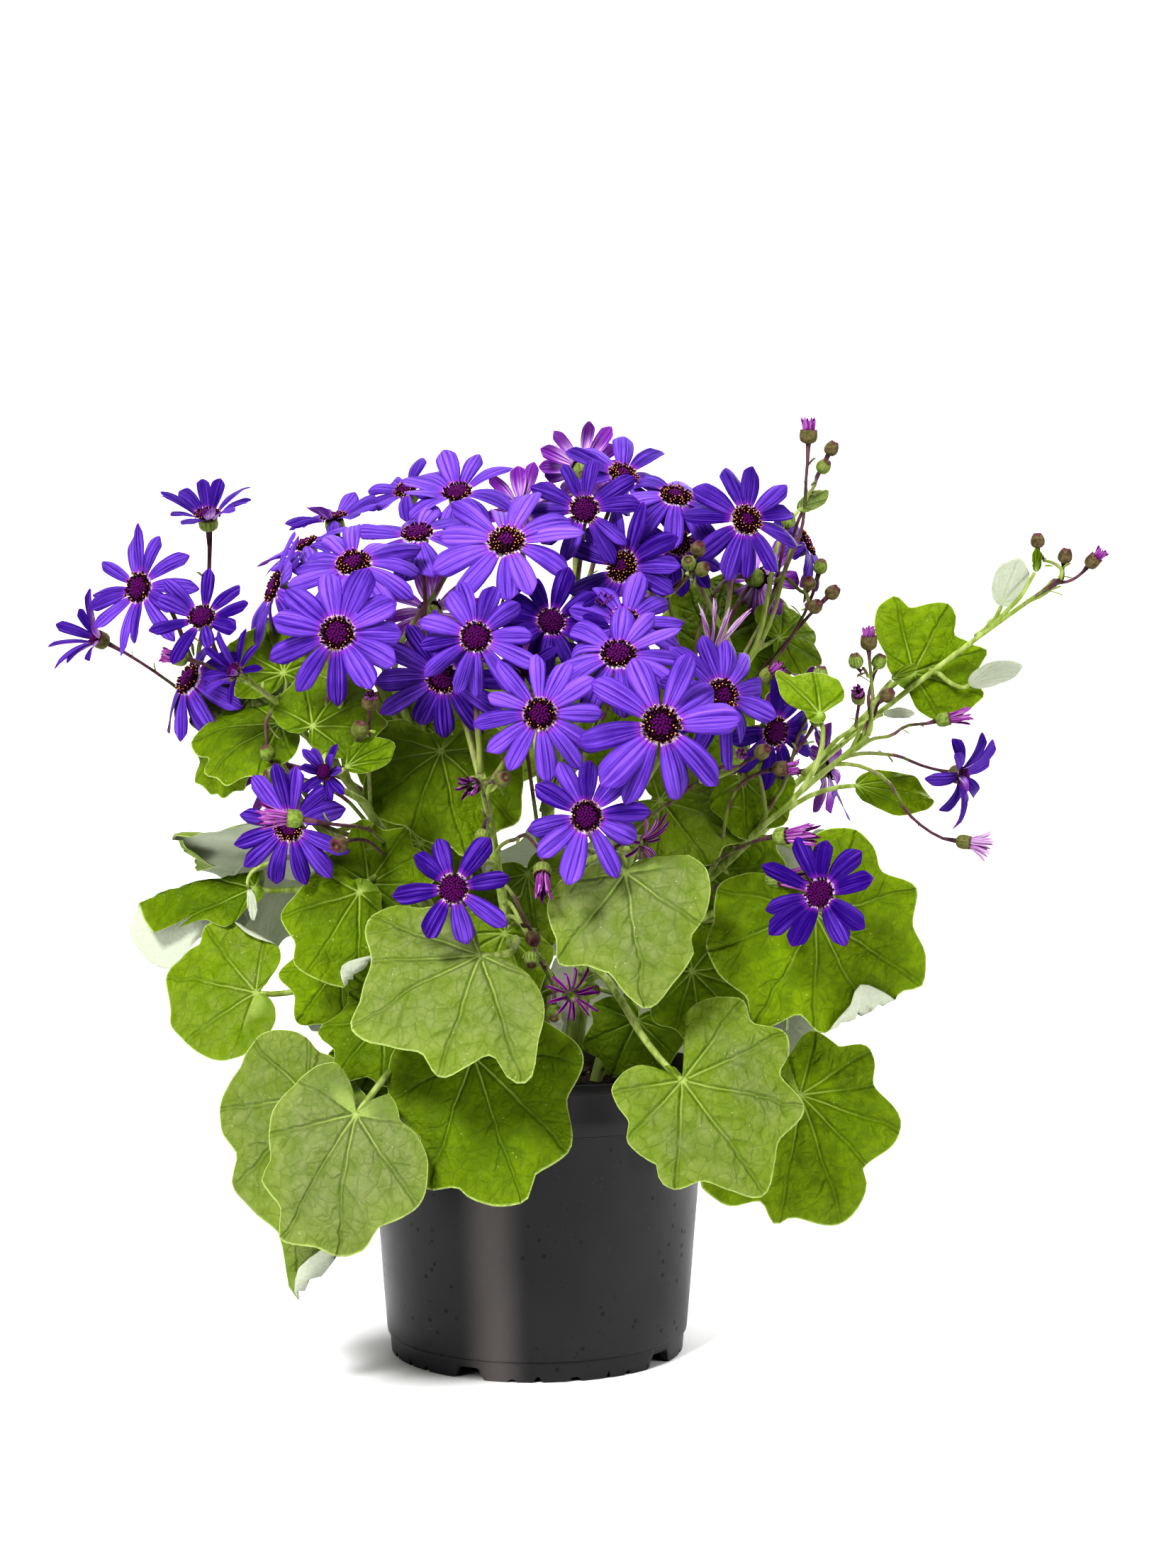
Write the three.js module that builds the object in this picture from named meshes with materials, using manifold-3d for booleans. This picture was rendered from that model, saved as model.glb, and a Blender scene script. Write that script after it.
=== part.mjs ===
// Florist cineraria in its nursery pot. Millimetres, +Z up, the pot stands on z = 0 and -Y is the front.
import * as THREE from 'three';
import { mergeVertices } from 'three/addons/utils/BufferGeometryUtils.js';
import Module from 'manifold-3d';

const wasm = await Module();
wasm.setup();

// ---------------------------------------------------------------- sizes
const GAP = 0.3; // clearance between neighbouring pieces

const POT = {
  segments: 24,
  rimRadius: 85,
  height: 138,
  lipDrop: 2.5, // height of the rolled lip
  collarRadius: 83.8,
  collarBottom: 114,
  bodyTopRadius: 81.8,
  footRadius: 72,
  footHeight: 10,
  wall: 2,
  floorBottom: 5,
  floorTop: 8,
  padRadius: 22, // flat middle of the underside, on which the pot also rests
  footWidth: 5,
  notches: [-25, 55, 127, 191, 263], // in the foot ring, degrees round from the front
  notchWidth: 15,
  notchHeight: 6,
  drainHoles: 6,
  drainHoleRadius: 5,
  drainHoleRing: 52,
};

const SOIL = { segments: 20, edgeHeight: 128, crownHeight: 133, lump: 1.2, rings: [56, 24] };
const STEM_FOOT = 112; // bottom of the stems, in blind holes of the soil

const STEM = { sides: 4, footRadius: 3.6, topRadius: 2.1, rise: 0.42, branchFrom: 0.5 };
const PEDICEL = { sides: 3, footRadius: 1.5, neckRadius: 1.1 };
const PETIOLE = { sides: 3, footRadius: 1.8, endRadius: 1, neck: 3.5 };
const TUFT = {
  spread: 0.5, // how far its tips stand out, as a part of their length
  cleft: 0.6, // height of the clefts between them, likewise
  heart: 0.35, // height of its middle, likewise
  fourSidedFrom: 8, // length above which it has a fourth side
};
const CALYX = { depth: 7, radius: 4.4 };
const BLOOM = {
  hub: 0.105, // radius of the disc, as a part of the flower's diameter
  discHeight: 3,
  underside: 1,
  ridge: 1.3, // height of a petal's midline
  waist: 0.62, // where a petal is widest, as a part of its length
  width: 0.17, // half of that width, as a part of the flower's radius
  tipWidth: 0.55, // width of the tip, as a part of the widest
  edgeSpare: 4, // how much more a thin petal edge grows than a face
};
const LEAF = {
  thickness: 0.8,
  taper: 0.33, // how much shorter a lobe is at 100 degrees from the tip
  notch: 0.87, // depth of the notches between lobes
  innerRing: 0.55,
  sinus: 0.1, // where the heart-shaped base closes, as a part of the length
  cup: 0.08,
  droop: 0.2,
  wave: 0.03,
  largeFrom: 52, // length from which a leaf has seven lobes
};

// ---------------------------------------------------------------- placement
// Directions: azimuth 0 faces the front, 90 the right and -90 the left; elevation 90 faces up.
// bloom: x y z of the disc | azimuth elevation | diameter, petals, cup angle
// head:  x y z of the calyx mouth | azimuth elevation | bud width, length of its petal tuft (0: closed)
// leaf:  part of the stem | x y z where its stalk ends | azimuth elevation | clock angle of its tip | length
const LEAFY_STEMS = [
  {
    name: 'far_left',
    base: [-30, -5],
    top: [-158, -8, 300],
    blooms: [
      [-189, -20, 367, -35, 8, 56, 10, 0],
      [-165, 20, 412, 10, 78, 46, 9, 25],
      [-156, -50, 353, -8, 30, 46, 8, 25],
      [-164, -30, 324, -55, -18, 58, 10, -10],
    ],
    heads: [
      [-222, 10, 351, -80, 18, 9, 22],
      [-171, -40, 335, -80, 10, 8, 8],
    ],
    leaves: [
      [0.5, -142, 0, 217, -60, 60, 270, 60],
      [0.42, -132, 6, 240, 180, 65, 90, 44],
      [0.32, -129, -40, 175, -20, 25, 270, 57],
    ],
  },
  {
    name: 'left_front',
    base: [-24, -18],
    top: [-95, -75, 290],
    blooms: [
      [-84, -60, 377, -8, 42, 66, 10, -12],
      [-87, -100, 342, -5, 8, 62, 10, 0],
      [-109, -95, 256, -20, -5, 56, 10, 0],
      [-121, -36, 371, -68, 22, 56, 10, -15],
    ],
    heads: [
      [-91, -115, 280, -10, 15, 8, 13],
      [-106, -125, 260, -85, 5, 8, 14],
      [-85, -125, 248, -20, -10, 8, 0],
      [-122, -80, 279, -60, 0, 8, 0],
      [-72, -100, 314, 10, 50, 8, 3],
      [-136, -80, 325, -30, 10, 8, 14],
    ],
    leaves: [
      [0.16, -76, -125, 131, -8, 18, 205, 60],
      [0.12, -95, -85, 134, -40, 15, 195, 82],
      [0.5, -78, -90, 226, -10, 20, 215, 48],
      [0.42, -86, -70, 189, -20, 10, 215, 36],
      [0.9, -119, -50, 303, -20, 45, 262, 44],
    ],
  },
  {
    name: 'left_back',
    base: [-18, 10],
    top: [-82, 12, 345],
    blooms: [
      [-114, -2, 392, -50, 60, 54, 9, -8],
      [-102, 20, 408, -20, 70, 50, 9, 20],
      [-57, -25, 395, -8, 52, 62, 9, -5],
      [-40, 10, 419, -12, 48, 60, 10, 18],
      [-68, 45, 425, -30, 45, 48, 8, 10],
    ],
    heads: [],
    leaves: [
      [0.35, -120, 25, 160, 265, 20, 180, 60],
    ],
  },
  {
    name: 'centre_front',
    base: [-8, -30],
    top: [-24, -82, 280],
    blooms: [
      [-25, -105, 340, 0, 8, 58, 10, 0],
      [-41, -85, 323, -12, -12, 60, 10, 0],
      [4, -132, 305, 0, 5, 62, 10, 0],
      [-33, -140, 230, -3, 3, 56, 9, 0],
    ],
    heads: [
      [5, -131, 235, 0, -45, 8, 14],
      [-25, -130, 274, -10, -10, 8, 14],
      [-21, -130, 250, 0, -30, 7, 0],
      [1, -110, 205, 10, -20, 7, 0],
      [10, -120, 172, 0, -40, 7, 0],
      [18, -115, 182, 20, 0, 7, 12],
    ],
    leaves: [
      [0.2, -26, -106, 154, 0, 28, 175, 62],
      [0.36, -22, -125, 200, -5, 35, 225, 67],
      [0.7, -44, -50, 290, -3, 25, 185, 48],
    ],
  },
  {
    name: 'centre',
    base: [0, -12],
    top: [5, -42, 318],
    blooms: [
      [-13, -62, 387, -5, 36, 70, 10, -8],
      [8, -75, 349, 12, 15, 52, 9, 25],
      [38, -112, 332, -3, 38, 64, 10, -10],
      [42, -70, 349, 10, 30, 58, 10, 10],
    ],
    heads: [
      [-4, -78, 327, 10, 30, 9, 24],
      [77, -55, 387, 20, 50, 7, 0],
      [31, -62, 356, 10, 40, 8, 9],
    ],
    leaves: [
      [0.5, 76, -50, 234, 0, 10, 160, 50],
    ],
  },
  {
    name: 'centre_back',
    base: [2, 16],
    top: [18, 20, 368],
    blooms: [
      [23, -42, 404, 0, 15, 56, 9, 8],
      [41, 5, 426, 20, 35, 60, 9, 0],
      [-7, 50, 429, 170, 25, 52, 9, 30],
      [26, 45, 444, 175, 42, 56, 9, 35],
      [41, -45, 377, -28, 12, 62, 10, 5],
    ],
    heads: [],
    leaves: [],
  },
  {
    name: 'front_right',
    base: [13, -28],
    top: [46, -88, 268],
    blooms: [
      [56, -142, 300, 5, 8, 72, 9, 0],
      [24, -142, 261, 5, 0, 60, 9, 0],
      [84, -110, 314, 28, 5, 60, 10, -12],
    ],
    heads: [
      [93, -98, 288, 30, 20, 7, 3],
      [50, -90, 248, 60, 0, 8, 16],
    ],
    leaves: [
      [0.6, 38, -124, 242, 0, 15, 173, 64],
      [0.2, 68, -120, 150, 8, 20, 147, 62],
      [0.36, 73, -60, 188, 0, 10, 130, 40],
      [0.6, 58, -62, 267, 5, 30, 110, 42],
    ],
  },
  {
    name: 'right_front',
    base: [26, -20],
    top: [106, -66, 256],
    blooms: [
      [111, -70, 299, 35, -12, 56, 8, 5],
      [126, -120, 226, 15, 8, 56, 10, 10],
    ],
    heads: [
      [113, -110, 252, 60, 5, 8, 15],
      [111, -92, 232, 70, 5, 8, 15],
      [115, -85, 282, 80, 5, 7, 7],
      [110, -70, 326, 60, 30, 8, 7],
      [133, -60, 329, 20, 70, 7, 0],
      [131, -72, 307, 20, 40, 7, 0],
      [83, -60, 338, 20, 70, 8, 16],
    ],
    leaves: [
      [0.52, 126, -90, 216, 10, 10, 140, 60],
      [0.14, 122, -70, 132, 15, 5, 165, 63],
      [0.8, 131, -48, 307, 10, 40, 350, 34],
    ],
  },
  {
    name: 'right_up',
    base: [17, -3],
    top: [110, 0, 345],
    blooms: [
      [67, -15, 414, 12, 48, 62, 9, -10],
      [69, 0, 393, 15, 12, 52, 9, 0],
      [100, -35, 400, 15, 12, 58, 10, -5],
      [136, 40, 397, 75, 25, 54, 9, -20],
      [112, 40, 379, 135, -5, 48, 9, 20],
    ],
    heads: [
      [139, -5, 384, 20, 60, 7, 0],
      [147, 0, 371, 60, 40, 7, 0],
      [124, 5, 408, 20, 70, 7, 0],
      [134, 10, 451, 10, 80, 7, 7],
      [147, 12, 444, 60, 60, 7, 0],
    ],
    leaves: [
      [0.55, 86, 30, 342, 10, 25, 60, 50],
    ],
  },
  {
    name: 'right_side',
    base: [33, -7],
    top: [160, -16, 298],
    blooms: [],
    heads: [
      [160, -20, 347, 0, 80, 7, 6],
      [167, -15, 337, 50, 60, 7, 0],
      [172, -15, 320, 60, 40, 7, 0],
      [154, -26, 318, -10, 30, 7, 6],
      [204, 0, 306, 80, 5, 8, 14],
      [215, 0, 246, 80, -5, 8, 16],
      [219, 10, 277, 70, -10, 9, 24],
    ],
    leaves: [
      [0.45, 158, 8, 267, 10, 20, 95, 36],
      [0.3, 150, 20, 170, 95, 20, 180, 60],
    ],
  },
  {
    name: 'far_right',
    base: [32, 9],
    top: [258, 10, 376],
    blooms: [],
    heads: [
      [248, 15, 399, -20, 75, 7, 0],
      [262, 12, 391, 30, 70, 7, 0],
      [276, 8, 387, 60, 45, 7, 6],
    ],
    leaves: [
      [0.64, 179, 14, 328, 5, 10, 70, 47],
      [0.76, 216, 0, 327, 160, 40, -50, 26],
      [0.78, 233, 24, 369, 170, 20, 342, 22],
    ],
  },
  {
    name: 'back_left',
    base: [-18, 28],
    top: [-76, 72, 300],
    blooms: [
      [-120, 70, 350, 240, 20, 58, 8, 0],
      [-60, 108, 378, 200, 30, 60, 8, -5],
      [-140, 75, 285, 245, 5, 56, 8, 5],
      [-70, 130, 285, 200, 5, 60, 8, 0],
    ],
    heads: [
      [-100, 105, 330, 220, 40, 8, 6],
      [-20, 112, 392, 190, 60, 7, 0],
    ],
    leaves: [
      [0.3, -100, 90, 175, 220, 20, 180, 62],
      [0.2, -40, 122, 160, 195, 20, 180, 65],
      [0.6, -60, 100, 240, 200, 25, 190, 55],
      [0.7, -128, 60, 236, 240, 25, 180, 55],
    ],
  },
  {
    name: 'back_right',
    base: [14, 32],
    top: [78, 78, 290],
    blooms: [
      [5, 122, 335, 180, 15, 62, 8, 0],
      [62, 105, 382, 160, 35, 60, 8, -5],
      [122, 82, 338, 130, 20, 58, 8, 0],
      [85, 132, 275, 155, 5, 62, 8, 0],
      [158, 66, 288, 115, 8, 56, 8, 5],
    ],
    heads: [
      [95, 112, 330, 150, 50, 7, 5],
      [140, 95, 305, 130, 30, 7, 0],
    ],
    leaves: [
      [0.2, 40, 124, 165, 165, 20, 180, 64],
      [0.3, 105, 92, 180, 140, 20, 180, 62],
      [0.55, 20, 105, 235, 175, 25, 170, 58],
      [0.65, 140, 60, 235, 120, 25, 180, 55],
    ],
  },
];

// ---------------------------------------------------------------- finishes
const material = (color, roughness) => new THREE.MeshStandardMaterial({ color, roughness, metalness: 0 });
const FINISH = {
  pot: material(0x17181a, 0.38),
  soil: material(0x3b2a1e, 0.95),
  leafyStem: material(0x6f9440, 0.6),
  bloom: material(0x5b3fd0, 0.55),
};

// ---------------------------------------------------------------- directions and solids
const UP = new THREE.Vector3(0, 0, 1);

/** Axes of a blade or bloom: `face` is what it faces, `up` the steepest line across it. */
function axesOf(azimuth, elevation) {
  const turn = THREE.MathUtils.degToRad(azimuth);
  const rise = THREE.MathUtils.degToRad(elevation);
  const level = Math.cos(rise);
  const face = new THREE.Vector3(level * Math.sin(turn), -level * Math.cos(turn), Math.sin(rise));
  const up = UP.clone().addScaledVector(face, -UP.dot(face)).normalize();
  return { face, up, side: up.clone().cross(face) };
}

/** Seeded random numbers from 0 to 1. */
function randomFrom(seed) {
  let state = seed * 2654435761 + 12345;
  return () => {
    state = (Math.imul(state, 1664525) + 1013904223) >>> 0;
    return state / 4294967296;
  };
}

/** Solid inside a closed geometry. */
function solidOf(geometry) {
  const plain = geometry.clone();
  plain.deleteAttribute('normal');
  plain.deleteAttribute('uv');
  const merged = mergeVertices(plain, 1e-4);
  const vertProperties = new Float32Array(merged.getAttribute('position').array);
  const triVerts = new Uint32Array(merged.getIndex().array);
  return new wasm.Manifold(new wasm.Mesh({ numProp: 3, vertProperties, triVerts }));
}

/** Solid inside triangles, each of three places in a list of points. */
function solidFrom(points, triangles) {
  const geometry = new THREE.BufferGeometry();
  const coordinates = points.flatMap((point) => point.toArray());
  geometry.setAttribute('position', new THREE.Float32BufferAttribute(coordinates, 3));
  geometry.setIndex(triangles.flat());
  return solidOf(geometry);
}

const joined = (solids) => solids.reduce((whole, solid) => whole.add(solid));

/** The largest of a solid's loose bodies. */
function mainBody(solid) {
  const bodies = solid.decompose();
  return bodies.reduce((best, body) => (body.volume() > best.volume() ? body : best));
}

function meshOf(name, solid, finish) {
  const { vertProperties, triVerts } = solid.getMesh();
  const geometry = new THREE.BufferGeometry();
  geometry.setAttribute('position', new THREE.Float32BufferAttribute(vertProperties, 3));
  geometry.setIndex(new THREE.Uint32BufferAttribute(triVerts, 1));
  const flat = geometry.toNonIndexed();
  flat.computeVertexNormals();
  const mesh = new THREE.Mesh(flat, finish);
  mesh.name = name;
  return mesh;
}

// ---------------------------------------------------------------- tubes
/** Closed tube through rings { centre, along, radius }, swollen by `grow`; a `crown` of tips may end it. */
function tube(rings, sides, grow, crown = null) {
  const points = [];
  const triangles = [];
  const across = Math.abs(rings[0].along.z) > 0.9 ? new THREE.Vector3(1, 0, 0) : UP.clone();
  const ringPoint = ({ centre, along, radius }, angle, shift) => centre.clone()
    .addScaledVector(along, shift)
    .addScaledVector(across, (radius + grow) * Math.cos(angle))
    .addScaledVector(along.clone().cross(across), (radius + grow) * Math.sin(angle));
  rings.forEach((ring, index) => {
    across.addScaledVector(ring.along, -across.dot(ring.along)).normalize();
    const shift = index === 0 ? -grow : index === rings.length - 1 ? grow : 0;
    for (let k = 0; k < sides; k += 1) {
      points.push(ringPoint(ring, (2 * Math.PI * k) / sides, shift));
    }
  });
  for (let ring = 0; ring < rings.length - 1; ring += 1) {
    for (let k = 0; k < sides; k += 1) {
      const a = ring * sides + k;
      const b = ring * sides + ((k + 1) % sides);
      triangles.push([a, b, b + sides], [a, b + sides, a + sides]);
    }
  }
  const last = (rings.length - 1) * sides;
  for (let k = 1; k < sides - 1; k += 1) {
    triangles.push([0, k + 1, k]);
    if (!crown) triangles.push([last, last + k, last + k + 1]);
  }
  if (crown) {
    const mouth = rings[rings.length - 1];
    const flare = { centre: mouth.centre, along: mouth.along, radius: mouth.radius + TUFT.spread * crown };
    const rim = points.length;
    for (let k = 0; k < sides; k += 1) {
      points.push(ringPoint(flare, (2 * Math.PI * k) / sides, crown + grow));
      points.push(ringPoint(flare, (2 * Math.PI * (k + 0.5)) / sides, TUFT.cleft * crown + grow));
    }
    const heart = points.length;
    points.push(mouth.centre.clone().addScaledVector(mouth.along, TUFT.heart * crown + 3 * grow));
    for (let k = 0; k < sides; k += 1) {
      const a = last + k;
      const b = last + ((k + 1) % sides);
      const tip = rim + 2 * k;
      const cleft = tip + 1;
      const nextTip = rim + 2 * ((k + 1) % sides);
      triangles.push([a, cleft, tip], [a, b, cleft], [b, nextTip, cleft]);
      triangles.push([heart, tip, cleft], [heart, cleft, nextTip]);
    }
  }
  return solidFrom(points, triangles);
}

/** Rings along a curve, at the given parts of its length, with a radius that runs from one to the other. */
function ringsAlong(curve, parts, startRadius, endRadius) {
  return parts.map((part) => ({
    centre: curve.getPoint(part),
    along: curve.getTangent(part),
    radius: THREE.MathUtils.lerp(startRadius, endRadius, part),
  }));
}

/** Main stem: straight up out of the soil, then leaning out to its top. */
function stemCurve({ base, top }) {
  const foot = new THREE.Vector3(base[0], base[1], STEM_FOOT);
  const end = new THREE.Vector3(...top);
  const height = end.z - foot.z;
  const rise = foot.clone().addScaledVector(UP, STEM.rise * height);
  const lean = end.clone().addScaledVector(end.clone().sub(rise).normalize(), -0.35 * height);
  return new THREE.CubicBezierCurve3(foot, rise, lean, end);
}

/** Stalk that forks from the stem and arrives at `end` in the direction `arrival`. */
function stalkCurve(stem, part, end, arrival) {
  const start = stem.getPoint(part);
  const reach = start.distanceTo(end);
  const fork = end.clone().sub(start).normalize().add(stem.getTangent(part)).normalize();
  const away = start.clone().addScaledVector(fork, 0.35 * reach);
  const near = end.clone().addScaledVector(arrival, -0.35 * reach);
  return new THREE.CubicBezierCurve3(start, away, near, end);
}

/** Pedicel and calyx, its mouth at `mouth`, under an open flower (null), a bud (0) or a tuft of petals. */
function pedicel(stem, part, mouth, face, width, petalLength, grow) {
  const closed = petalLength === 0;
  const neck = mouth.clone().addScaledVector(face, -CALYX.depth);
  const curve = stalkCurve(stem, part, neck, face);
  const rings = ringsAlong(curve, [0, 0.5, 1], PEDICEL.footRadius, PEDICEL.neckRadius);
  const belly = neck.clone().addScaledVector(face, 0.3 * CALYX.depth);
  if (petalLength !== null) rings.push({ centre: belly, along: face, radius: width / 2 });
  rings.push({ centre: mouth, along: face, radius: closed ? width / 3 : width / 2 });
  return tube(rings, petalLength > TUFT.fourSidedFrom ? 4 : PEDICEL.sides, grow, petalLength);
}

// ---------------------------------------------------------------- petals
/** One closed star: a domed disc, and round it petals with a raised midline and a flat back. */
function flower(centre, axes, radius, petals, cup, seed, grow) {
  const random = randomFrom(seed);
  const hub = BLOOM.hub * 2 * radius;
  const sector = Math.PI / petals;
  const spare = BLOOM.edgeSpare * grow;
  const start = random() * sector;
  const place = (out, angle, sideways, height) => centre.clone()
    .addScaledVector(axes.side, out * Math.cos(angle) - sideways * Math.sin(angle))
    .addScaledVector(axes.up, out * Math.sin(angle) + sideways * Math.cos(angle))
    .addScaledVector(axes.face, height);
  const top = 0;
  const bottom = 1;
  const points = [
    place(0, 0, 0, BLOOM.discHeight + grow),
    place(0, 0, 0, -BLOOM.underside - grow),
  ];
  const triangles = [];
  for (let petal = 0; petal < petals; petal += 1) {
    const angle = start + 2 * sector * petal;
    points.push(place(hub, angle - sector, 0, -grow), place(hub, angle, 0, BLOOM.ridge + 2 * grow));
  }
  for (let petal = 0; petal < petals; petal += 1) {
    const angle = start + 2 * sector * petal;
    const length = (radius - hub) * (0.92 + 0.1 * random());
    const tilt = THREE.MathUtils.degToRad(cup + 12 * (random() - 0.5));
    const droop = 0.1 * length * random();
    const left = 2 + 2 * petal;
    const ridge = left + 1;
    const right = 2 + 2 * ((petal + 1) % petals);
    triangles.push([top, left, ridge], [top, ridge, right], [bottom, right, left]);
    const at = (reach) => [
      hub + reach * length * Math.cos(tilt),
      reach * length * Math.sin(tilt) - droop * reach * reach,
    ];
    const [out, height] = at(BLOOM.waist);
    const [tipOut, tipHeight] = at(1 + spare / length);
    const half = Math.min(BLOOM.width * radius, 0.95 * out * Math.tan(sector)) + spare;
    const tipHalf = BLOOM.tipWidth * half + spare;
    const waist = points.length;
    points.push(place(out, angle, -half, height - grow));
    points.push(place(out, angle, 0, height + BLOOM.ridge + 2 * grow));
    points.push(place(out, angle, half, height - grow));
    points.push(place(tipOut, angle, -tipHalf, tipHeight), place(tipOut, angle, tipHalf, tipHeight));
    const crest = waist + 1;
    const edge = waist + 2;
    const tipLeft = waist + 3;
    const tipRight = waist + 4;
    triangles.push([left, waist, crest], [left, crest, ridge], [ridge, crest, edge], [ridge, edge, right]);
    triangles.push([left, right, edge], [left, edge, waist]);
    triangles.push([waist, tipLeft, crest], [crest, tipLeft, tipRight], [crest, tipRight, edge]);
    triangles.push([waist, edge, tipRight], [waist, tipRight, tipLeft]);
  }
  return solidFrom(points, triangles);
}

// ---------------------------------------------------------------- leaves
/** Direction of a leaf's tip, from its clock angle. */
function tipOf({ up, side }, clock) {
  const turn = THREE.MathUtils.degToRad(clock);
  return side.clone().multiplyScalar(Math.sin(turn)).addScaledVector(up, Math.cos(turn));
}

/** Rings of a leaf stalk, from the stem to just behind the blade. */
function stalkRings(stem, part, attach, axes, tip) {
  const arrival = tip.clone().multiplyScalar(0.6).addScaledVector(axes.face, 0.6).normalize();
  const end = attach.clone().addScaledVector(arrival, -PETIOLE.neck);
  return ringsAlong(stalkCurve(stem, part, end, arrival), [0, 0.5, 1], PETIOLE.footRadius, PETIOLE.endRadius);
}

/** Lobed blade with a heart-shaped base, waved alike on both faces and drawn out behind into its stalk. */
function leaf(stem, [part, x, y, z, azimuth, elevation, clock, length], grow) {
  const attach = new THREE.Vector3(x, y, z);
  const axes = axesOf(azimuth, elevation);
  const tip = tipOf(axes, clock);
  const across = axes.face.clone().cross(tip);
  const large = length >= LEAF.largeFrom;
  const lobes = large ? 7 : 5;
  const pitch = THREE.MathUtils.degToRad(large ? 41 : 60);
  const envelope = (angle) => length * (1 - LEAF.taper * (THREE.MathUtils.radToDeg(angle) / 100) ** 2) + grow;
  const half = LEAF.thickness / 2 + grow;
  const place = (out, angle, rise) => attach.clone()
    .addScaledVector(tip, out * Math.cos(angle))
    .addScaledVector(across, out * Math.sin(angle))
    .addScaledVector(axes.face, rise);
  const points = [place(0, 0, half)];
  const root = 0;
  // Each place on the blade is two points: its upper one, and its lower one right after it.
  const add = (out, angle, wave) => {
    const rise = LEAF.cup * out - (LEAF.droop * out * out) / length + wave * length;
    points.push(place(out, angle, rise + half), place(out, angle, rise - half));
    return points.length - 2;
  };
  const rim = [add(LEAF.sinus * length, Math.PI, 0)];
  const heart = [{ point: rim[0], angle: Math.PI }];
  for (let lobe = 0; lobe < lobes; lobe += 1) {
    const angle = (lobe - (lobes - 1) / 2) * pitch;
    if (lobe > 0) {
      rim.push(add(LEAF.notch * envelope(angle - pitch / 2), angle - pitch / 2, -LEAF.wave));
      if (!large) heart.push({ point: rim[rim.length - 1], angle: angle - pitch / 2 });
    }
    rim.push(add(envelope(angle), angle, LEAF.wave));
    const inner = large ? add(LEAF.innerRing * envelope(angle), angle, LEAF.wave / 2) : rim[rim.length - 1];
    heart.push({ point: inner, angle });
  }
  const upper = [];
  if (large) {
    for (let lobe = 0; lobe < lobes; lobe += 1) {
      const inner = heart[lobe + 1].point;
      const before = rim[2 * lobe];
      const point = rim[2 * lobe + 1];
      const after = rim[(2 * lobe + 2) % rim.length];
      upper.push([inner, before, point], [inner, point, after]);
      if (lobe < lobes - 1) upper.push([inner, after, heart[lobe + 2].point]);
    }
  }
  const triangles = [...upper, ...upper.map(([a, b, c]) => [a + 1, c + 1, b + 1])];
  rim.forEach((point, k) => {
    const next = rim[(k + 1) % rim.length];
    triangles.push([point, point + 1, next + 1], [point, next + 1, next]);
  });
  // The underside closes round a small three-cornered collar, out of which the stalk runs.
  const corner = (k) => (2 * Math.PI * (k + 0.5)) / PETIOLE.sides;
  let ring = [0, 1, 2].map((k) => points.push(place(PETIOLE.endRadius + grow, corner(k), -half)) - 1);
  const sector = (angle) => Math.floor((((angle / (2 * Math.PI)) % 1) + 1) % 1 * PETIOLE.sides);
  heart.forEach(({ point, angle }, k) => {
    const next = heart[(k + 1) % heart.length];
    const near = ring[sector(angle)];
    const far = ring[sector(next.angle)];
    triangles.push([root, point, next.point], [near, next.point + 1, point + 1]);
    if (far !== near) triangles.push([near, far, next.point + 1]);
  });
  for (const { centre, along, radius } of stalkRings(stem, part, attach, axes, tip).reverse()) {
    const lateral = across.clone().projectOnPlane(along).normalize();
    const forward = lateral.clone().cross(along);
    const following = [0, 1, 2].map((k) => points.push(centre.clone()
      .addScaledVector(forward, (radius + grow) * Math.cos(corner(k)))
      .addScaledVector(lateral, (radius + grow) * Math.sin(corner(k)))) - 1);
    for (const [k, next] of [[0, 1], [1, 2], [2, 0]]) {
      triangles.push([ring[k], following[next], ring[next]], [ring[k], following[k], following[next]]);
    }
    ring = following;
  }
  triangles.push([ring[0], ring[2], ring[1]]);
  return solidFrom(points, triangles);
}

// ---------------------------------------------------------------- pot and soil
function innerRadius(z) {
  const slope = (POT.bodyTopRadius - POT.footRadius) / (POT.collarBottom - POT.footHeight);
  return POT.footRadius + slope * (z - POT.footHeight) - POT.wall;
}

function lathed(profile, segments) {
  const points = profile.map(([r, z]) => new THREE.Vector2(r, z));
  return solidOf(new THREE.LatheGeometry(points, segments).rotateX(Math.PI / 2));
}

function potSolid() {
  const p = POT;
  const lipRadius = p.rimRadius - p.wall;
  let shell = lathed([
    [0, 0],
    [p.padRadius, 0],
    [p.padRadius + 3, p.floorBottom],
    [p.footRadius - p.footWidth, p.floorBottom],
    [p.footRadius - p.footWidth, 0],
    [p.footRadius - 1, 0],
    [p.footRadius, p.footHeight],
    [p.bodyTopRadius, p.collarBottom - 1],
    [p.collarRadius - 0.8, p.collarBottom],
    [p.collarRadius, p.height - p.lipDrop],
    [p.rimRadius, p.height],
    [lipRadius, p.height],
    [innerRadius(p.height - 12), p.height - 12],
    [innerRadius(p.floorTop), p.floorTop],
    [0, p.floorTop],
  ], p.segments);
  for (const angle of p.notches) {
    const notch = new THREE.BoxGeometry(p.notchWidth, 3 * p.footWidth, 2 * p.notchHeight);
    notch.translate(0, -p.footRadius, 0).rotateZ(THREE.MathUtils.degToRad(angle));
    shell = shell.subtract(solidOf(notch));
  }
  for (let hole = 0; hole < p.drainHoles; hole += 1) {
    const drill = new THREE.CylinderGeometry(p.drainHoleRadius, p.drainHoleRadius, 4 * p.floorTop, 6);
    drill.rotateX(Math.PI / 2).translate(p.drainHoleRing, 0, 0);
    drill.rotateZ((2 * Math.PI * (hole + 0.5)) / p.drainHoles);
    shell = shell.subtract(solidOf(drill));
  }
  return shell;
}

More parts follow.
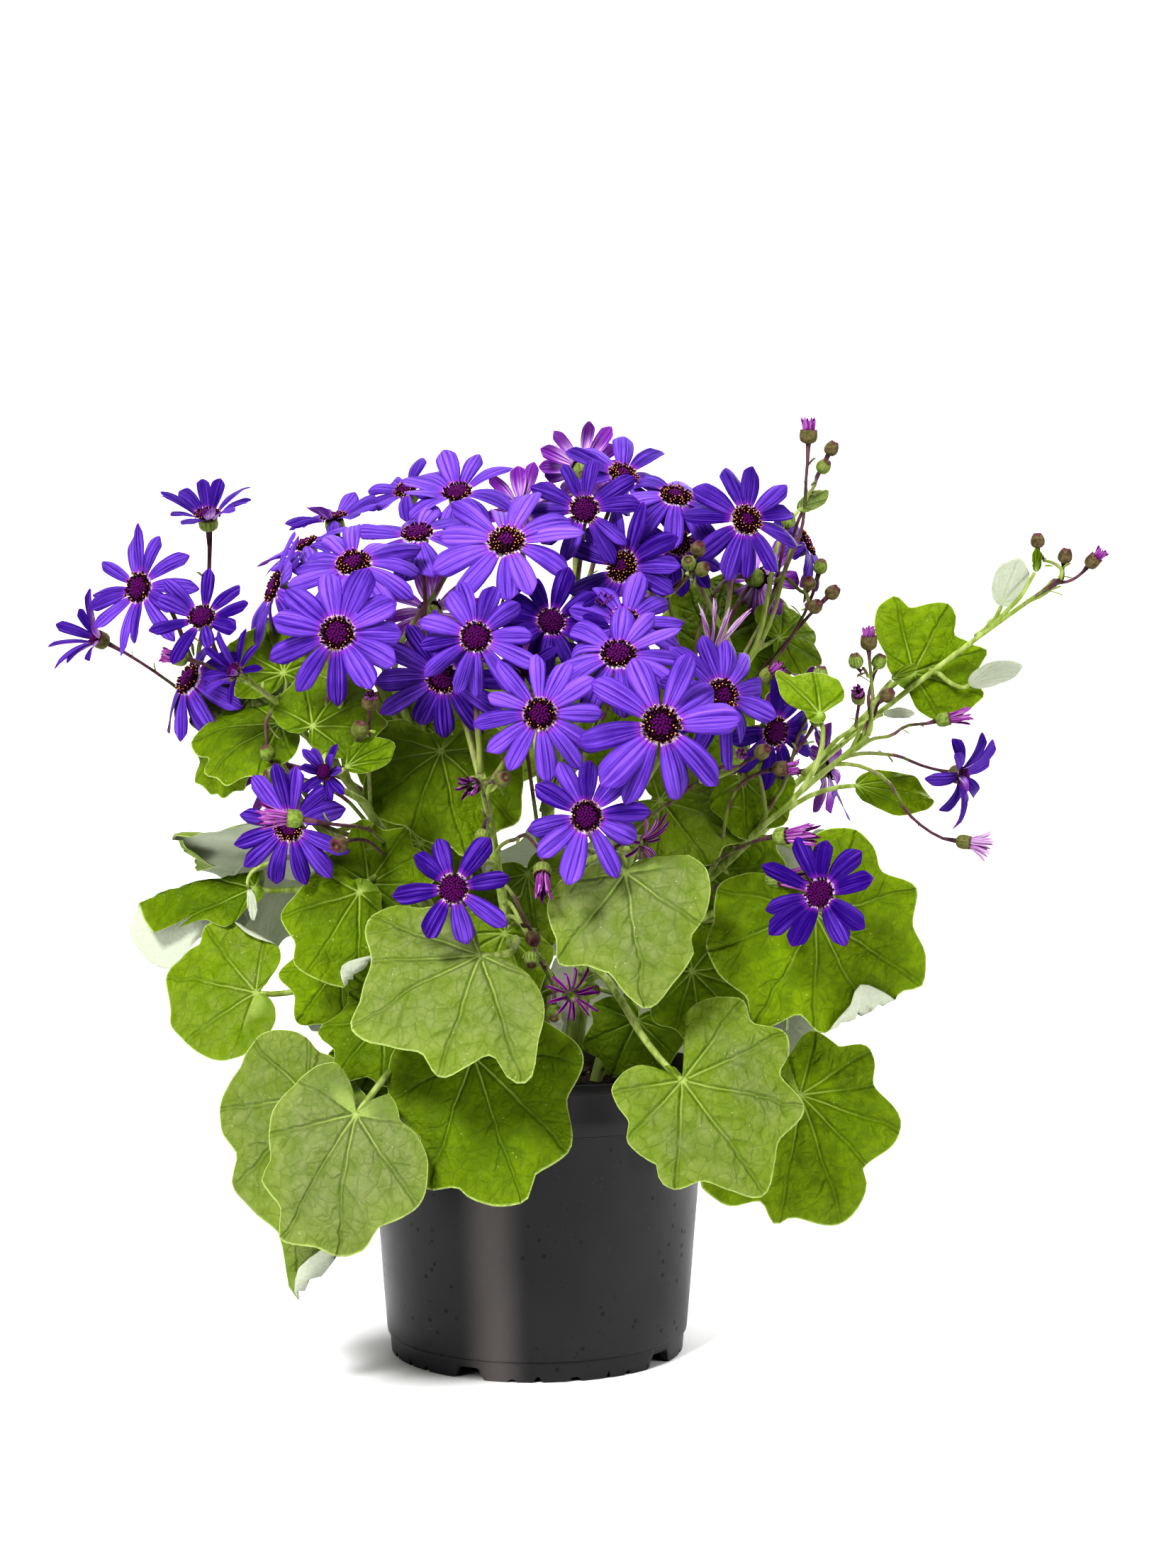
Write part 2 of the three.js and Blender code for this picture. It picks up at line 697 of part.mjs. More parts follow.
function soilSolid() {
  const bottom = POT.floorTop + GAP;
  const edge = (z) => innerRadius(z) - GAP - 0.5;
  const rings = SOIL.rings;
  const rim = edge(SOIL.edgeHeight);
  const swell = (r) => THREE.MathUtils.lerp(SOIL.crownHeight, SOIL.edgeHeight, (r / rim) ** 2);
  const profile = [
    [0, bottom],
    [edge(bottom), bottom],
    [rim, SOIL.edgeHeight],
    ...rings.map((r) => [r, swell(r)]),
    [0, SOIL.crownHeight],
  ];
  const points = profile.map(([r, z]) => new THREE.Vector2(r, z));
  const lathe = new THREE.LatheGeometry(points, SOIL.segments).rotateX(Math.PI / 2);
  const position = lathe.getAttribute('position');
  for (let k = 0; k < position.count; k += 1) {
    const x = position.getX(k);
    const y = position.getY(k);
    const inside = Math.hypot(x, y) < rings[0] + 1 && position.getZ(k) > SOIL.edgeHeight;
    if (inside) position.setZ(k, position.getZ(k) + SOIL.lump * Math.sin(0.13 * x + 1) * Math.cos(0.17 * y));
  }
  return solidOf(lathe);
}

// ---------------------------------------------------------------- the plant
/** Flower stalks of a leafy stem, from the lowest to the highest: each forks off above the one before. */
function flowerStalks(plant) {
  const open = plant.blooms.map(([x, y, z, azimuth, elevation]) => {
    const { face } = axesOf(azimuth, elevation);
    const mouth = new THREE.Vector3(x, y, z).addScaledVector(face, -BLOOM.underside - 2 * GAP);
    return { mouth, face, width: 2 * CALYX.radius, petalLength: null };
  });
  const heads = plant.heads.map(([x, y, z, azimuth, elevation, width, petalLength]) => {
    const { face } = axesOf(azimuth, elevation);
    return { mouth: new THREE.Vector3(x, y, z), face, width, petalLength };
  });
  const stalks = [...open, ...heads].sort((a, b) => a.mouth.z - b.mouth.z);
  const forkAt = (k) => THREE.MathUtils.lerp(STEM.branchFrom, 1, (k + 1) / stalks.length);
  return stalks.map((stalk, k) => ({ ...stalk, part: forkAt(k) }));
}

/** Main stem and flower stalks of a leafy stem, with their calyces and heads. */
function stemAndStalks(plant, grow) {
  const stem = stemCurve(plant);
  const stemRings = ringsAlong(stem, [0, 0.35, 0.7, 1], STEM.footRadius, STEM.topRadius);
  const tubes = [tube(stemRings, STEM.sides, grow)];
  for (const { part, mouth, face, width, petalLength } of flowerStalks(plant)) {
    tubes.push(pedicel(stem, part, mouth, face, width, petalLength, grow));
  }
  return joined(tubes);
}

/** Stalks of its leaves alone. */
function leafStalks(plant, grow) {
  const stem = stemCurve(plant);
  return plant.leaves.map(([part, x, y, z, azimuth, elevation, clock]) => {
    const axes = axesOf(azimuth, elevation);
    const attach = new THREE.Vector3(x, y, z);
    return tube(stalkRings(stem, part, attach, axes, tipOf(axes, clock)), PETIOLE.sides, grow);
  });
}

const allStalks = (grow) => LEAFY_STEMS.map(
  (plant) => joined([stemAndStalks(plant, grow), ...leafStalks(plant, grow)]),
);
const stalkRoom = allStalks(GAP);
const stalkCore = allStalks(GAP / 2);

let soil = soilSolid();
for (const room of stalkRoom) {
  soil = soil.subtract(room);
}

// Blades and petals give way to every stalk, and to the blades and petals fitted before them.
let taken = lathed([
  [0, -GAP],
  [POT.footRadius + GAP, -GAP],
  [POT.rimRadius + GAP, POT.height + GAP],
  [0, POT.height + GAP],
], POT.segments);

function fitted(blade, room, ownStem) {
  const others = (stalks) => stalks.filter((_, k) => k !== ownStem);
  const free = others(stalkRoom).reduce((rest, stalk) => rest.subtract(stalk), blade.subtract(taken));
  taken = taken.add(others(stalkCore).reduce((rest, stalk) => rest.subtract(stalk), room));
  return free;
}

const pieces = [];
LEAFY_STEMS.forEach((plant, k) => {
  plant.blooms.forEach(([x, y, z, azimuth, elevation, diameter, petals, cup], b) => {
    const shape = (grow) => flower(
      new THREE.Vector3(x, y, z), axesOf(azimuth, elevation), diameter / 2, petals, cup, 10 * k + b + 1, grow,
    );
    pieces.push([`bloom_${plant.name}_${b + 1}`, mainBody(fitted(shape(0), shape(GAP), null)), FINISH.bloom]);
  });
});
LEAFY_STEMS.forEach((plant, k) => {
  const stem = stemCurve(plant);
  const stalks = stemAndStalks(plant, 0);
  const leaves = (grow) => joined(plant.leaves.map((row) => leaf(stem, row, grow)));
  const whole = plant.leaves.length > 0 ? stalks.add(fitted(leaves(0), leaves(2 * GAP), k)) : stalks;
  pieces.push([`leafy_stem_${plant.name}`, mainBody(whole), FINISH.leafyStem]);
});

const group = new THREE.Group();
group.add(meshOf('pot', potSolid(), FINISH.pot), meshOf('soil', soil, FINISH.soil));
for (const [name, solid, finish] of pieces) {
  group.add(meshOf(name, solid, finish));
}

export default group;
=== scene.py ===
import math
import random

import bpy
import numpy as np
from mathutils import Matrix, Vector, noise


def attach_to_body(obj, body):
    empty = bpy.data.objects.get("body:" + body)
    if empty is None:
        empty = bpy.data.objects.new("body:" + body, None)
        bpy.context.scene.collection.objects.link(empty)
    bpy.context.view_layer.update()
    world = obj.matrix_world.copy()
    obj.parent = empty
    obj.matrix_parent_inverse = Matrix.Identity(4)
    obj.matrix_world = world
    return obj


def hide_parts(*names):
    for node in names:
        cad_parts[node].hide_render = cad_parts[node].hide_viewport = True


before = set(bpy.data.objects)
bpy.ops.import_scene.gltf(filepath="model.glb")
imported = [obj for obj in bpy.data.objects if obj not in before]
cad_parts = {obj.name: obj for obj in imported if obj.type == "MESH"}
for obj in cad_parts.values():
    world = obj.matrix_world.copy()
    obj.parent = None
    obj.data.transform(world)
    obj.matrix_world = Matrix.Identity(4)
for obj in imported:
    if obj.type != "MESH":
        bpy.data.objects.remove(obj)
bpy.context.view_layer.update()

bpy.ops.object.select_all(action="DESELECT")


# ---------------------------------------------------------------- Camera
# A level camera in front of the plant, at the height of its middle, with a
# medium long lens, so that the pot is seen slightly from above.
bpy.ops.object.camera_add(location=(0.0248, -1.110, 0.2748), rotation=(math.pi / 2, 0, 0))
camera = bpy.context.object
camera.data.lens = 52
camera.data.sensor_width = 36
camera.data.clip_end = 20
bpy.context.scene.camera = camera
camera.select_set(False)


# ---------------------------------------------------------------- Pot
# A thin-walled nursery pot of black polypropylene, moulded in one piece: a
# tapering body with a thicker collar and a beaded lip, and a foot ring with
# low notches, through which water from the drain holes runs off.
POT_PROFILE = [  # (radius, height) in millimetres, from the middle of the underside round to the floor
    (0, 0.2), (20, 0), (22, 0), (24, 4), (27, 5), (65, 5), (67, 4.4), (67.3, 0.3), (68, 0), (70.6, 0),
    (71.1, 0.4), (71.3, 3), (71.6, 6.5), (71.8, 9.0), (72.3, 9.5), (72.9, 9.9), (73.2, 11.5), (75, 32),
    (77.2, 60), (79.6, 90), (81.6, 112.6), (81.8, 113.6), (82.9, 114.0), (83.3, 114.6), (83.5, 121),
    (83.9, 132.4), (84.1, 133.2), (84.9, 133.7), (85.0, 134.4), (85.0, 136.9), (84.7, 137.7), (84.0, 138),
    (83.2, 137.9), (82.8, 137.2), (82.5, 133.4), (81.0, 128), (80.5, 122), (76, 72), (70.2, 10),
    (69.2, 8.3), (66, 8), (0, 8),
]
FOOT_NOTCHES = [  # (angle from the front, half width in degrees, height in millimetres)
    (-25.2, 6.6, 5.5), (55.5, 7.4, 7.4), (127, 7, 6.5), (191, 7, 6), (263, 7, 6.5), (-8, 1.9, 1.5),
    (1.5, 1.9, 2.6), (15.5, 3.2, 2.0), (28.9, 1.1, 3.4), (37.6, 1.2, 2.2), (-45.5, 1.3, 2.4),
    (-55.7, 1.3, 2.4), (-69, 1.7, 3), (76, 1.5, 2.5), (88, 1.4, 2.2), (99, 2.2, 1.8), (111, 1.4, 2.6),
    (143, 1.4, 2.4), (156, 2.4, 1.6), (168, 1.3, 2.6), (180, 1.3, 2.2), (204, 1.4, 2.4), (217, 2.6, 1.7),
    (229, 1.3, 2.6), (241, 1.4, 2.2), (250, 1.2, 2.2), (277, 1.4, 2.4), (284, 1.2, 2.0),
]
POT_STEPS = 360
FOOT_RADIUS, FOOT_HEIGHT, NOTCH_LIMIT = 66.5, 3.5, 8.4  # the foot ring, and how high a notch may reach
DRAIN_HOLES, DRAIN_CIRCLE, DRAIN_RADIUS = 6, 0.052, 0.005  # their number, and two radii in metres
HIGHLIGHT_SIDE = (0.968, -0.252, 0)  # square to a painted highlight: a lighter band down the wall at the front left of the middle


def turned(name, profile, steps, unit=0.001):
    """A closed shape turned on the vertical axis from its profile of (radius, height)."""
    outline = bpy.data.meshes.new(name)
    corners = [(radius * unit, 0, height * unit) for radius, height in profile]
    outline.from_pydata(corners, [(k, k + 1) for k in range(len(corners) - 1)], [])
    piece = bpy.data.objects.new(name, outline)
    bpy.context.collection.objects.link(piece)
    bpy.context.view_layer.objects.active = piece
    piece.select_set(True)
    bpy.ops.object.mode_set(mode="EDIT")
    bpy.ops.mesh.select_all(action="SELECT")
    bpy.ops.mesh.spin(steps=steps, angle=2 * math.pi, center=(0, 0, 0), axis=(0, 0, 1))
    bpy.ops.mesh.select_all(action="SELECT")
    bpy.ops.mesh.remove_doubles(threshold=0.00001)
    bpy.ops.mesh.normals_make_consistent(inside=False)
    bpy.ops.object.mode_set(mode="OBJECT")
    bpy.ops.object.shade_smooth_by_angle(angle=math.radians(35))
    piece.select_set(False)
    return piece


def apply_modifiers(piece):
    bpy.context.view_layer.objects.active = piece
    piece.select_set(True)
    for modifier in list(piece.modifiers):
        bpy.ops.object.modifier_apply(modifier=modifier.name)
    piece.select_set(False)


class Value:
    """A number or colour that a finish works out at each point. A sum with it gives another."""

    def __init__(self, finish, socket):
        self.finish, self.socket = finish, socket

    def __add__(self, other):
        return self.finish.calc("ADD", self, other)

    def __sub__(self, other):
        return self.finish.calc("SUBTRACT", self, other)

    def __mul__(self, other):
        return self.finish.calc("MULTIPLY", self, other)

    def __truediv__(self, other):
        return self.finish.calc("DIVIDE", self, other)

    def __pow__(self, other):
        return self.finish.calc("POWER", self, other)

    def __abs__(self):
        return self.finish.calc("ABSOLUTE", self)

    def grade(self, low, high, to_low=0.0, to_high=1.0):
        """A smooth step, from one value at low to another at high."""
        made = self.finish.node("MapRange", interpolation_type="SMOOTHSTEP")
        return self.finish.joined(made, 0, self, low, high, to_low, to_high)


class Finish:
    """A material under construction. Each method adds one node and returns what comes out of it."""

    def __init__(self, name, **sockets):
        self.material = bpy.data.materials.new(name)
        self.material.use_nodes = True
        self.tree = self.material.node_tree
        self.shader = self.tree.nodes["Principled BSDF"]
        for socket, value in sockets.items():
            self.shader.inputs[socket.replace("_", " ")].default_value = value

    def node(self, kind, **settings):
        made = self.tree.nodes.new("ShaderNode" + kind)
        for setting, value in settings.items():
            setattr(made, setting, value)
        return made

    def plug(self, socket, value):
        if isinstance(value, Value):
            self.tree.links.new(value.socket, socket)
        elif isinstance(value, tuple) and socket.type == "RGBA":
            socket.default_value = (*value, 1)
        elif value is not None:
            socket.default_value = value

    def joined(self, made, output, *values, first=0):
        """Puts values into a node's sockets, in their order, and gives one of its outputs."""
        for socket, value in zip(list(made.inputs)[first:], values):
            self.plug(socket, value)
        return Value(self, made.outputs[output])

    def place(self):
        return Value(self, self.node("TexCoord").outputs["Object"])

    def mark(self, name):
        return Value(self, self.node("Attribute", attribute_name=name).outputs["Fac"])

    def vector(self, x, y, z):
        return self.joined(self.node("CombineXYZ"), 0, x, y, z)

    def vectors(self, operation, one, other, output="Vector"):
        return self.joined(self.node("VectorMath", operation=operation), output, one, other)

    def stretched(self, x, y, z):
        made = self.node("Mapping")
        made.inputs["Scale"].default_value = (x, y, z)
        return self.joined(made, 0, self.place())

    def calc(self, operation, *values):
        return self.joined(self.node("Math", operation=operation), 0, *values)

    def mix(self, share, one, other):
        made = self.node("Mix", data_type="RGBA")
        self.plug(made.inputs[0], share)
        return self.joined(made, 2, one, other, first=6)

    def coats(self, colour, *coats):
        """A colour with others laid over it, each where its share says."""
        for share, over in coats:
            colour = self.mix(share, colour, over)
        return colour

    def cloud(self, scale, detail=3, where=None):
        made = self.node("TexNoise")
        made.inputs["Scale"].default_value = scale
        made.inputs["Detail"].default_value = detail
        made.inputs["Roughness"].default_value = 0.55
        return self.joined(made, "Fac", where or self.place())

    def cells(self, scale, feature="F1", where=None):
        made = self.node("TexVoronoi", feature=feature)
        made.inputs["Scale"].default_value = scale
        return self.joined(made, "Distance", where or self.place())

    def scatter(self, value):
        made = self.node("TexWhiteNoise", noise_dimensions="1D")
        self.plug(made.inputs["W"], value)
        return Value(self, made.outputs["Value"])

    def bump(self, height, distance, strength):
        made = self.node("Bump")
        made.inputs["Strength"].default_value = strength
        made.inputs["Distance"].default_value = distance
        self.plug(made.inputs["Height"], height)
        self.tree.links.new(made.outputs[0], self.shader.inputs["Normal"])

    def into(self, socket, value):
        self.plug(self.shader.inputs[socket], value)


pot = turned("nursery_pot", POT_PROFILE, POT_STEPS)
for vertex in pot.data.vertices:
    place = vertex.co * 1000
    if place.z < FOOT_HEIGHT and math.hypot(place.x, place.y) > FOOT_RADIUS:
        angle = math.degrees(math.atan2(place.x, -place.y))
        for middle, half_width, height in FOOT_NOTCHES:
            off = abs((angle - middle + 180) % 360 - 180) / half_width
            if off < 1:
                slope = min(1, (1 - off) * (2.2 if half_width > 4 else 1.4))
                lift = height * slope * slope * (3 - 2 * slope)
                vertex.co.z = max(vertex.co.z, 0.001 * min(lift, NOTCH_LIMIT))
for hole in range(DRAIN_HOLES):
    angle = 2 * math.pi * (hole + 0.5) / DRAIN_HOLES
    place = (DRAIN_CIRCLE * math.cos(angle), DRAIN_CIRCLE * math.sin(angle), 0.006)
    bpy.ops.mesh.primitive_cylinder_add(vertices=40, radius=DRAIN_RADIUS, depth=0.03, location=place)
    drill = bpy.context.object
    cut = pot.modifiers.new("drain", "BOOLEAN")
    cut.object = drill
    cut.operation = "DIFFERENCE"
    cut.solver = "EXACT"
    drill.select_set(False)
    apply_modifiers(pot)
    bpy.data.objects.remove(drill)

plastic = Finish("black_plastic", Metallic=0.0, Specular_IOR_Level=0.34)
mottle = plastic.cloud(14, 4)
drips = plastic.cloud(9, 5, plastic.stretched(1, 1, 0.18))
spots = plastic.cells(150).grade(0.13, 0.2, 1, 0)
spots = spots * plastic.cloud(26, 2).grade(0.5, 0.62)
fine_spots = plastic.cells(330).grade(0.12, 0.19, 1, 0)
fine_spots = fine_spots * plastic.cloud(40, 2).grade(0.52, 0.62)
dust = plastic.cells(420, where=plastic.stretched(1, 1, 1.7)).grade(0.07, 0.12, 1, 0)
dust = dust * plastic.cloud(60, 3).grade(0.6, 0.68)
# The streak is a painted highlight: a lighter band down the wall at the front left, with its twin at the back
# right, where a soft lamp's reflection would stand.
from_highlight_band = abs(plastic.vectors("DOT_PRODUCT", plastic.place(), HIGHLIGHT_SIDE, "Value"))
streak = from_highlight_band.grade(0.001, 0.0175, 1, 0)
streak = streak * drips.grade(0.2, 0.8, 0.7, 1.0)
plastic.into("Base Color", plastic.coats(
    plastic.mix(drips.grade(0.35, 0.7), (0.0135, 0.0135, 0.0148), (0.0225, 0.022, 0.0235)),
    (spots * 0.75, (0.004, 0.004, 0.0045)),
    (fine_spots * 0.6, (0.005, 0.005, 0.0055)),
    # painted highlight: the lighter band down the wall
    (streak, (0.115, 0.102, 0.099)),
    (dust * 0.7, (0.22, 0.21, 0.19)),
))
plastic.into("Roughness", (mottle + spots * 0.5).grade(0.3, 1.0, 0.36, 0.58))
plastic.bump(plastic.cloud(900, 2) * 0.2 + plastic.cloud(35, 2), 0.0004, 0.35)
pot.data.materials.append(plastic.material)
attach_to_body(pot, "root")
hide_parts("pot")


# ---------------------------------------------------------------- Soil
# Dark brown peat compost, filled to a finger's breadth under the lip and
# pressed up a little round the stems. Crumbs and bits of fibre lie on it.
SOIL_PROFILE = [  # (radius, height) in millimetres, from the middle of the underside to the middle of the top
    (0, 8.4), (64, 8.4), (69.2, 9), (80.0, 127.2), (80.1, 128), (78, 128.4), (74, 128.8), (69, 129.4),
    (63, 130), (56, 130.6), (48, 131.3), (40, 131.9), (31, 132.4), (22, 132.8), (12, 133), (0, 133),
]
PEAT_TOP = 133
CRUMBS, CRUMB_CIRCLE = 1100, 79


def as_blank(piece):
    """The shape of a modelled piece as arrays, from which shaped copies are made. The piece itself goes."""
    mesh = piece.data
    places = np.empty(len(mesh.vertices) * 3)
    corners = np.empty(len(mesh.loops), int)
    sizes = np.empty(len(mesh.polygons), int)
    mesh.vertices.foreach_get("co", places)
    mesh.loops.foreach_get("vertex_index", corners)
    mesh.polygons.foreach_get("loop_total", sizes)
    bpy.data.objects.remove(piece)
    bpy.data.meshes.remove(mesh)
    return {"places": places.reshape(-1, 3), "corners": corners, "sizes": sizes}


def grown(name, copies, finishes, smooth=True):
    """One piece out of shaped copies (blank, places in millimetres, marks, number of its finish)."""
    marks = sorted({mark for copy in copies for mark in copy[2]})
    places, corners, starts, kinds, values = [], [], [], [], {mark: [] for mark in marks}
    first_place = first_corner = 0
    for blank, shaped, given, kind in copies:
        count = len(shaped)
        places.append(shaped)
        corners.append(blank["corners"] + first_place)
        starts.append(np.cumsum(blank["sizes"]) - blank["sizes"] + first_corner)
        kinds.append(np.full(len(blank["sizes"]), kind))
        for mark in marks:
            values[mark].append(np.broadcast_to(np.asarray(given.get(mark, 0.0), float), (count,)))
        first_place += count
        first_corner += len(blank["corners"])
    mesh = bpy.data.meshes.new(name)
    places = np.concatenate(places) * 0.001
    corners, starts, kinds = np.concatenate(corners), np.concatenate(starts), np.concatenate(kinds)
    mesh.vertices.add(len(places))
    mesh.vertices.foreach_set("co", places.astype(np.float32).ravel())
    mesh.loops.add(len(corners))
    mesh.loops.foreach_set("vertex_index", corners.astype(np.int32))
    mesh.polygons.add(len(starts))
    mesh.polygons.foreach_set("loop_start", starts.astype(np.int32))
    mesh.polygons.foreach_set("material_index", kinds.astype(np.int32))
    mesh.polygons.foreach_set("use_smooth", np.full(len(starts), smooth))
    for mark in marks:
        layer = mesh.attributes.new(mark, "FLOAT", "POINT")
        layer.data.foreach_set("value", np.concatenate(values[mark]).astype(np.float32))
    mesh.update(calc_edges=True)
    mesh.validate()
    for finish in finishes:
        mesh.materials.append(finish.material)
    piece = bpy.data.objects.new(name, mesh)
    bpy.context.collection.objects.link(piece)
    return piece


def dressed(piece, slot, *nodes):
    """Carries a finished piece on the part's one body, in place of its nodes."""
    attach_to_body(piece, "root")
    if nodes:
        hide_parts(*nodes)


peat = Finish("peat", Specular_IOR_Level=0.25)
grain = peat.cloud(420, 4)
clod = peat.cloud(90, 3)
tint = peat.mix(clod.grade(0.35, 0.7), (0.012, 0.007, 0.0045), (0.05, 0.026, 0.013))
peat.into("Base Color", peat.mix(grain.grade(0.62, 0.78), tint, (0.17, 0.085, 0.035)))
peat.into("Roughness", grain.grade(0.3, 0.7, 0.75, 0.98))
peat.bump(grain + clod * 2, 0.0012, 0.8)

fibre = Finish("peat_fibre", Specular_IOR_Level=0.3)
strand = fibre.mix(fibre.cloud(200, 2).grade(0.4, 0.6), (0.16, 0.08, 0.03), (0.42, 0.3, 0.16))
fibre.into("Base Color", strand)
fibre.into("Roughness", fibre.cloud(600, 2).grade(0.3, 0.7, 0.6, 0.9))

bed = turned("peat_bed", SOIL_PROFILE, 120)
for vertex in bed.data.vertices:
    place = vertex.co * 1000
    if place.z > 127.9:
        lumps = noise.noise(vertex.co * 160) * 1.6 + noise.noise(vertex.co * 420) * 0.9
        vertex.co.z += 0.001 * lumps * min(1, (80.2 - math.hypot(place.x, place.y)) / 6)
bed.data.materials.append(peat.material)
dressed(bed, "peat", "soil")

bpy.ops.mesh.primitive_ico_sphere_add(subdivisions=1, radius=1)
crumb = as_blank(bpy.context.object)
draw = random.Random(5)
crumbs = []
for number in range(CRUMBS):
    out = CRUMB_CIRCLE * math.sqrt(draw.random())
    angle = draw.uniform(0, 2 * math.pi)
    size = draw.choice((0.5, 0.7, 0.9, 1.3, 1.9))
    thin = draw.random() < 0.22
    shape = size * np.array((2.6, 0.25, 0.25) if thin else (draw.uniform(0.8, 1.4), 1, 0.8))
    rough = crumb["places"] * (1 + 0.3 * np.array([[draw.uniform(-1, 1)] for _ in crumb["places"]])) * shape
    turn = draw.uniform(0, math.pi)
    rolled = np.stack([
        rough[:, 0] * math.cos(turn) - rough[:, 1] * math.sin(turn),
        rough[:, 0] * math.sin(turn) + rough[:, 1] * math.cos(turn),
        rough[:, 2],
    ], axis=1)
    x, y = out * math.cos(angle), out * math.sin(angle)
    height = PEAT_TOP - 5 * (out / 80) ** 2 + noise.noise(Vector((x, y, 130)) * 0.16) * 1.6
    spot = np.array([x, y, height + 0.15 * size])
    crumbs.append((crumb, rolled + spot, {}, 1 if thin else 0))
dressed(grown("peat_crumbs", crumbs, [peat, fibre], smooth=False), "peat")


# ---------------------------------------------------------------- Main stems
# Thirteen fleshy stems, 7 mm thick at the foot, that rise steeply out of the
# peat and lean out to the edge of the plant. They are ribbed, yellow-green
# with a purple flush towards the top, and covered in short hairs.
STEM_FOOT = 112  # height of the foot of each stem, in a hole in the peat
STEM_RADIUS = 3.5
STEM_TAPER = {"far_right": 2.5, "right_side": 2.2, "right_up": 2.0}  # what it loses towards its top, else 1.6
STEM_FLUSH = {"far_right": (0.85, 9)}  # purple at its top and how suddenly it comes, else (0.45, 4)
STEMS = {  # foot x y | top x y z
    "far_left": ((-30, -5), (-158, -8, 300)),
    "left_front": ((-24, -18), (-95, -75, 290)),
    "left_back": ((-18, 10), (-82, 12, 345)),
    "centre_front": ((-8, -30), (-24, -82, 280)),
    "centre": ((0, -12), (5, -42, 318)),
    "centre_back": ((2, 16), (18, 20, 368)),
    "front_right": ((13, -28), (46, -88, 268)),
    "right_front": ((26, -20), (106, -66, 256)),
    "right_up": ((17, -3), (110, 0, 345)),
    "right_side": ((33, -7), (160, -16, 298)),
    "far_right": ((32, 9), (258, 10, 376)),
    "back_left": ((-18, 28), (-76, 72, 300)),
    "back_right": ((14, 32), (78, 78, 290)),
}
UP = np.array([0.0, 0.0, 1.0])
SWAY_PLACES = ((9.3, -1.5, -8.0), (0, 0, 0), (6.3, 0.17, -2.7))  # where the sway in x, y and z is read off


def unit(vector):
    return vector / np.linalg.norm(vector)


class Run:
    """The smooth line that a stem or stalk follows, from its four knots."""

    def __init__(self, *knots):
        self.knots = [np.array(knot, float) for knot in knots]

    def at(self, part):
        a, b, c, d = self.knots
        rest = 1 - part
        return a * rest ** 3 + 3 * b * rest ** 2 * part + 3 * c * rest * part ** 2 + d * part ** 3

    def along(self, part):
        a, b, c, d = self.knots
        rest = 1 - part
        return unit(3 * (b - a) * rest ** 2 + 6 * (c - b) * rest * part + 3 * (d - c) * part ** 2)


def stem_run(name):
    (foot_x, foot_y), top = STEMS[name]
    foot, end = np.array([foot_x, foot_y, STEM_FOOT]), np.array(top, float)
    height = end[2] - STEM_FOOT
    rise = foot + UP * 0.42 * height
    return Run(foot, rise, end - unit(end - rise) * 0.35 * height, end)


def branch_run(run, part, end, arrival):
    """A stalk that forks off at a part of a run and arrives at its end in a given direction."""
    start = run.at(part)
    reach = np.linalg.norm(end - start)
    fork = unit(unit(end - start) + run.along(part))
    return Run(start, start + fork * 0.35 * reach, end - arrival * 0.35 * reach, end)


def rod_blank(sides, rings):
    """A rod of unit radius and height, cut into rings."""
    wall = [(1, ring / rings) for ring in range(rings + 1)]
    return as_blank(turned("rod", [(0, 0)] + wall + [(0, 1)], sides, unit=1))


def bent(blank, run, radius, ribs=0, rib_height=0.0, wobble=0.0, seed=0):
    """A rod laid along a run; its radius is a function of the part of the length."""
    x, y, z = blank["places"].T
    levels, level_of = np.unique(np.round(z, 4), return_inverse=True)
    across = np.array([1.0, 0.0, 0.0]) if abs(run.along(0)[2]) > 0.9 else UP.copy()
    centres, firsts, seconds = [], [], []
    for level in levels:
        along = run.along(level)
        across = unit(across - along * across.dot(along))
        centre = run.at(level)
        if wobble:
            place = Vector((level * 3.1, seed * 1.7, 0.5))
            drift = np.array([noise.noise(place + Vector(apart)) for apart in SWAY_PLACES])
            centre = centre + drift * wobble * math.sin(math.pi * level)
        centres.append(centre)
        firsts.append(across)
        seconds.append(np.cross(along, across))
    centres, firsts, seconds = (np.array(rows)[level_of] for rows in (centres, firsts, seconds))
    width = np.array([radius(level) for level in levels])[level_of]
    width = width * (1 + rib_height * np.cos(ribs * np.arctan2(y, x)))
    return centres + firsts * (x * width)[:, None] + seconds * (y * width)[:, None]


stalk = Finish("ribbed_stalk", Specular_IOR_Level=0.15, Sheen_Weight=0.08, Sheen_Roughness=0.4)
flush = stalk.mark("purple")
streak = stalk.cloud(240, 3, stalk.stretched(1, 1, 0.12))
green = stalk.mix(streak.grade(0.35, 0.65), (0.18, 0.24, 0.04), (0.35, 0.42, 0.14))
purple = stalk.mix(streak.grade(0.35, 0.65), (0.035, 0.012, 0.022), (0.13, 0.06, 0.075))
patchy = flush + streak.grade(0.3, 0.7, -0.22, 0.22)
stalk.into("Base Color", stalk.mix(patchy.grade(0.25, 0.75), green, purple))
stalk.into("Roughness", streak.grade(0.3, 0.7, 0.42, 0.62))
stalk.bump(streak, 0.0005, 0.7)

thick_rod = rod_blank(15, 24)
stem_runs = {name: stem_run(name) for name in STEMS}
for number, (name, run) in enumerate(stem_runs.items()):
    taper = STEM_TAPER.get(name, 1.6)
    shaped = bent(
        thick_rod, run, lambda part: STEM_RADIUS - taper * part ** 0.5,
        ribs=5, rib_height=0.07, wobble=3, seed=number,
    )
    at_top, power = STEM_FLUSH.get(name, (0.45, 4))
    marks = {"purple": 0.02 + at_top * thick_rod["places"][:, 2] ** power}
    piece = grown(f"main_stem_{name}", [(thick_rod, shaped, marks, 0)], [stalk])
    dressed(piece, "greenery", f"leafy_stem_{name}")


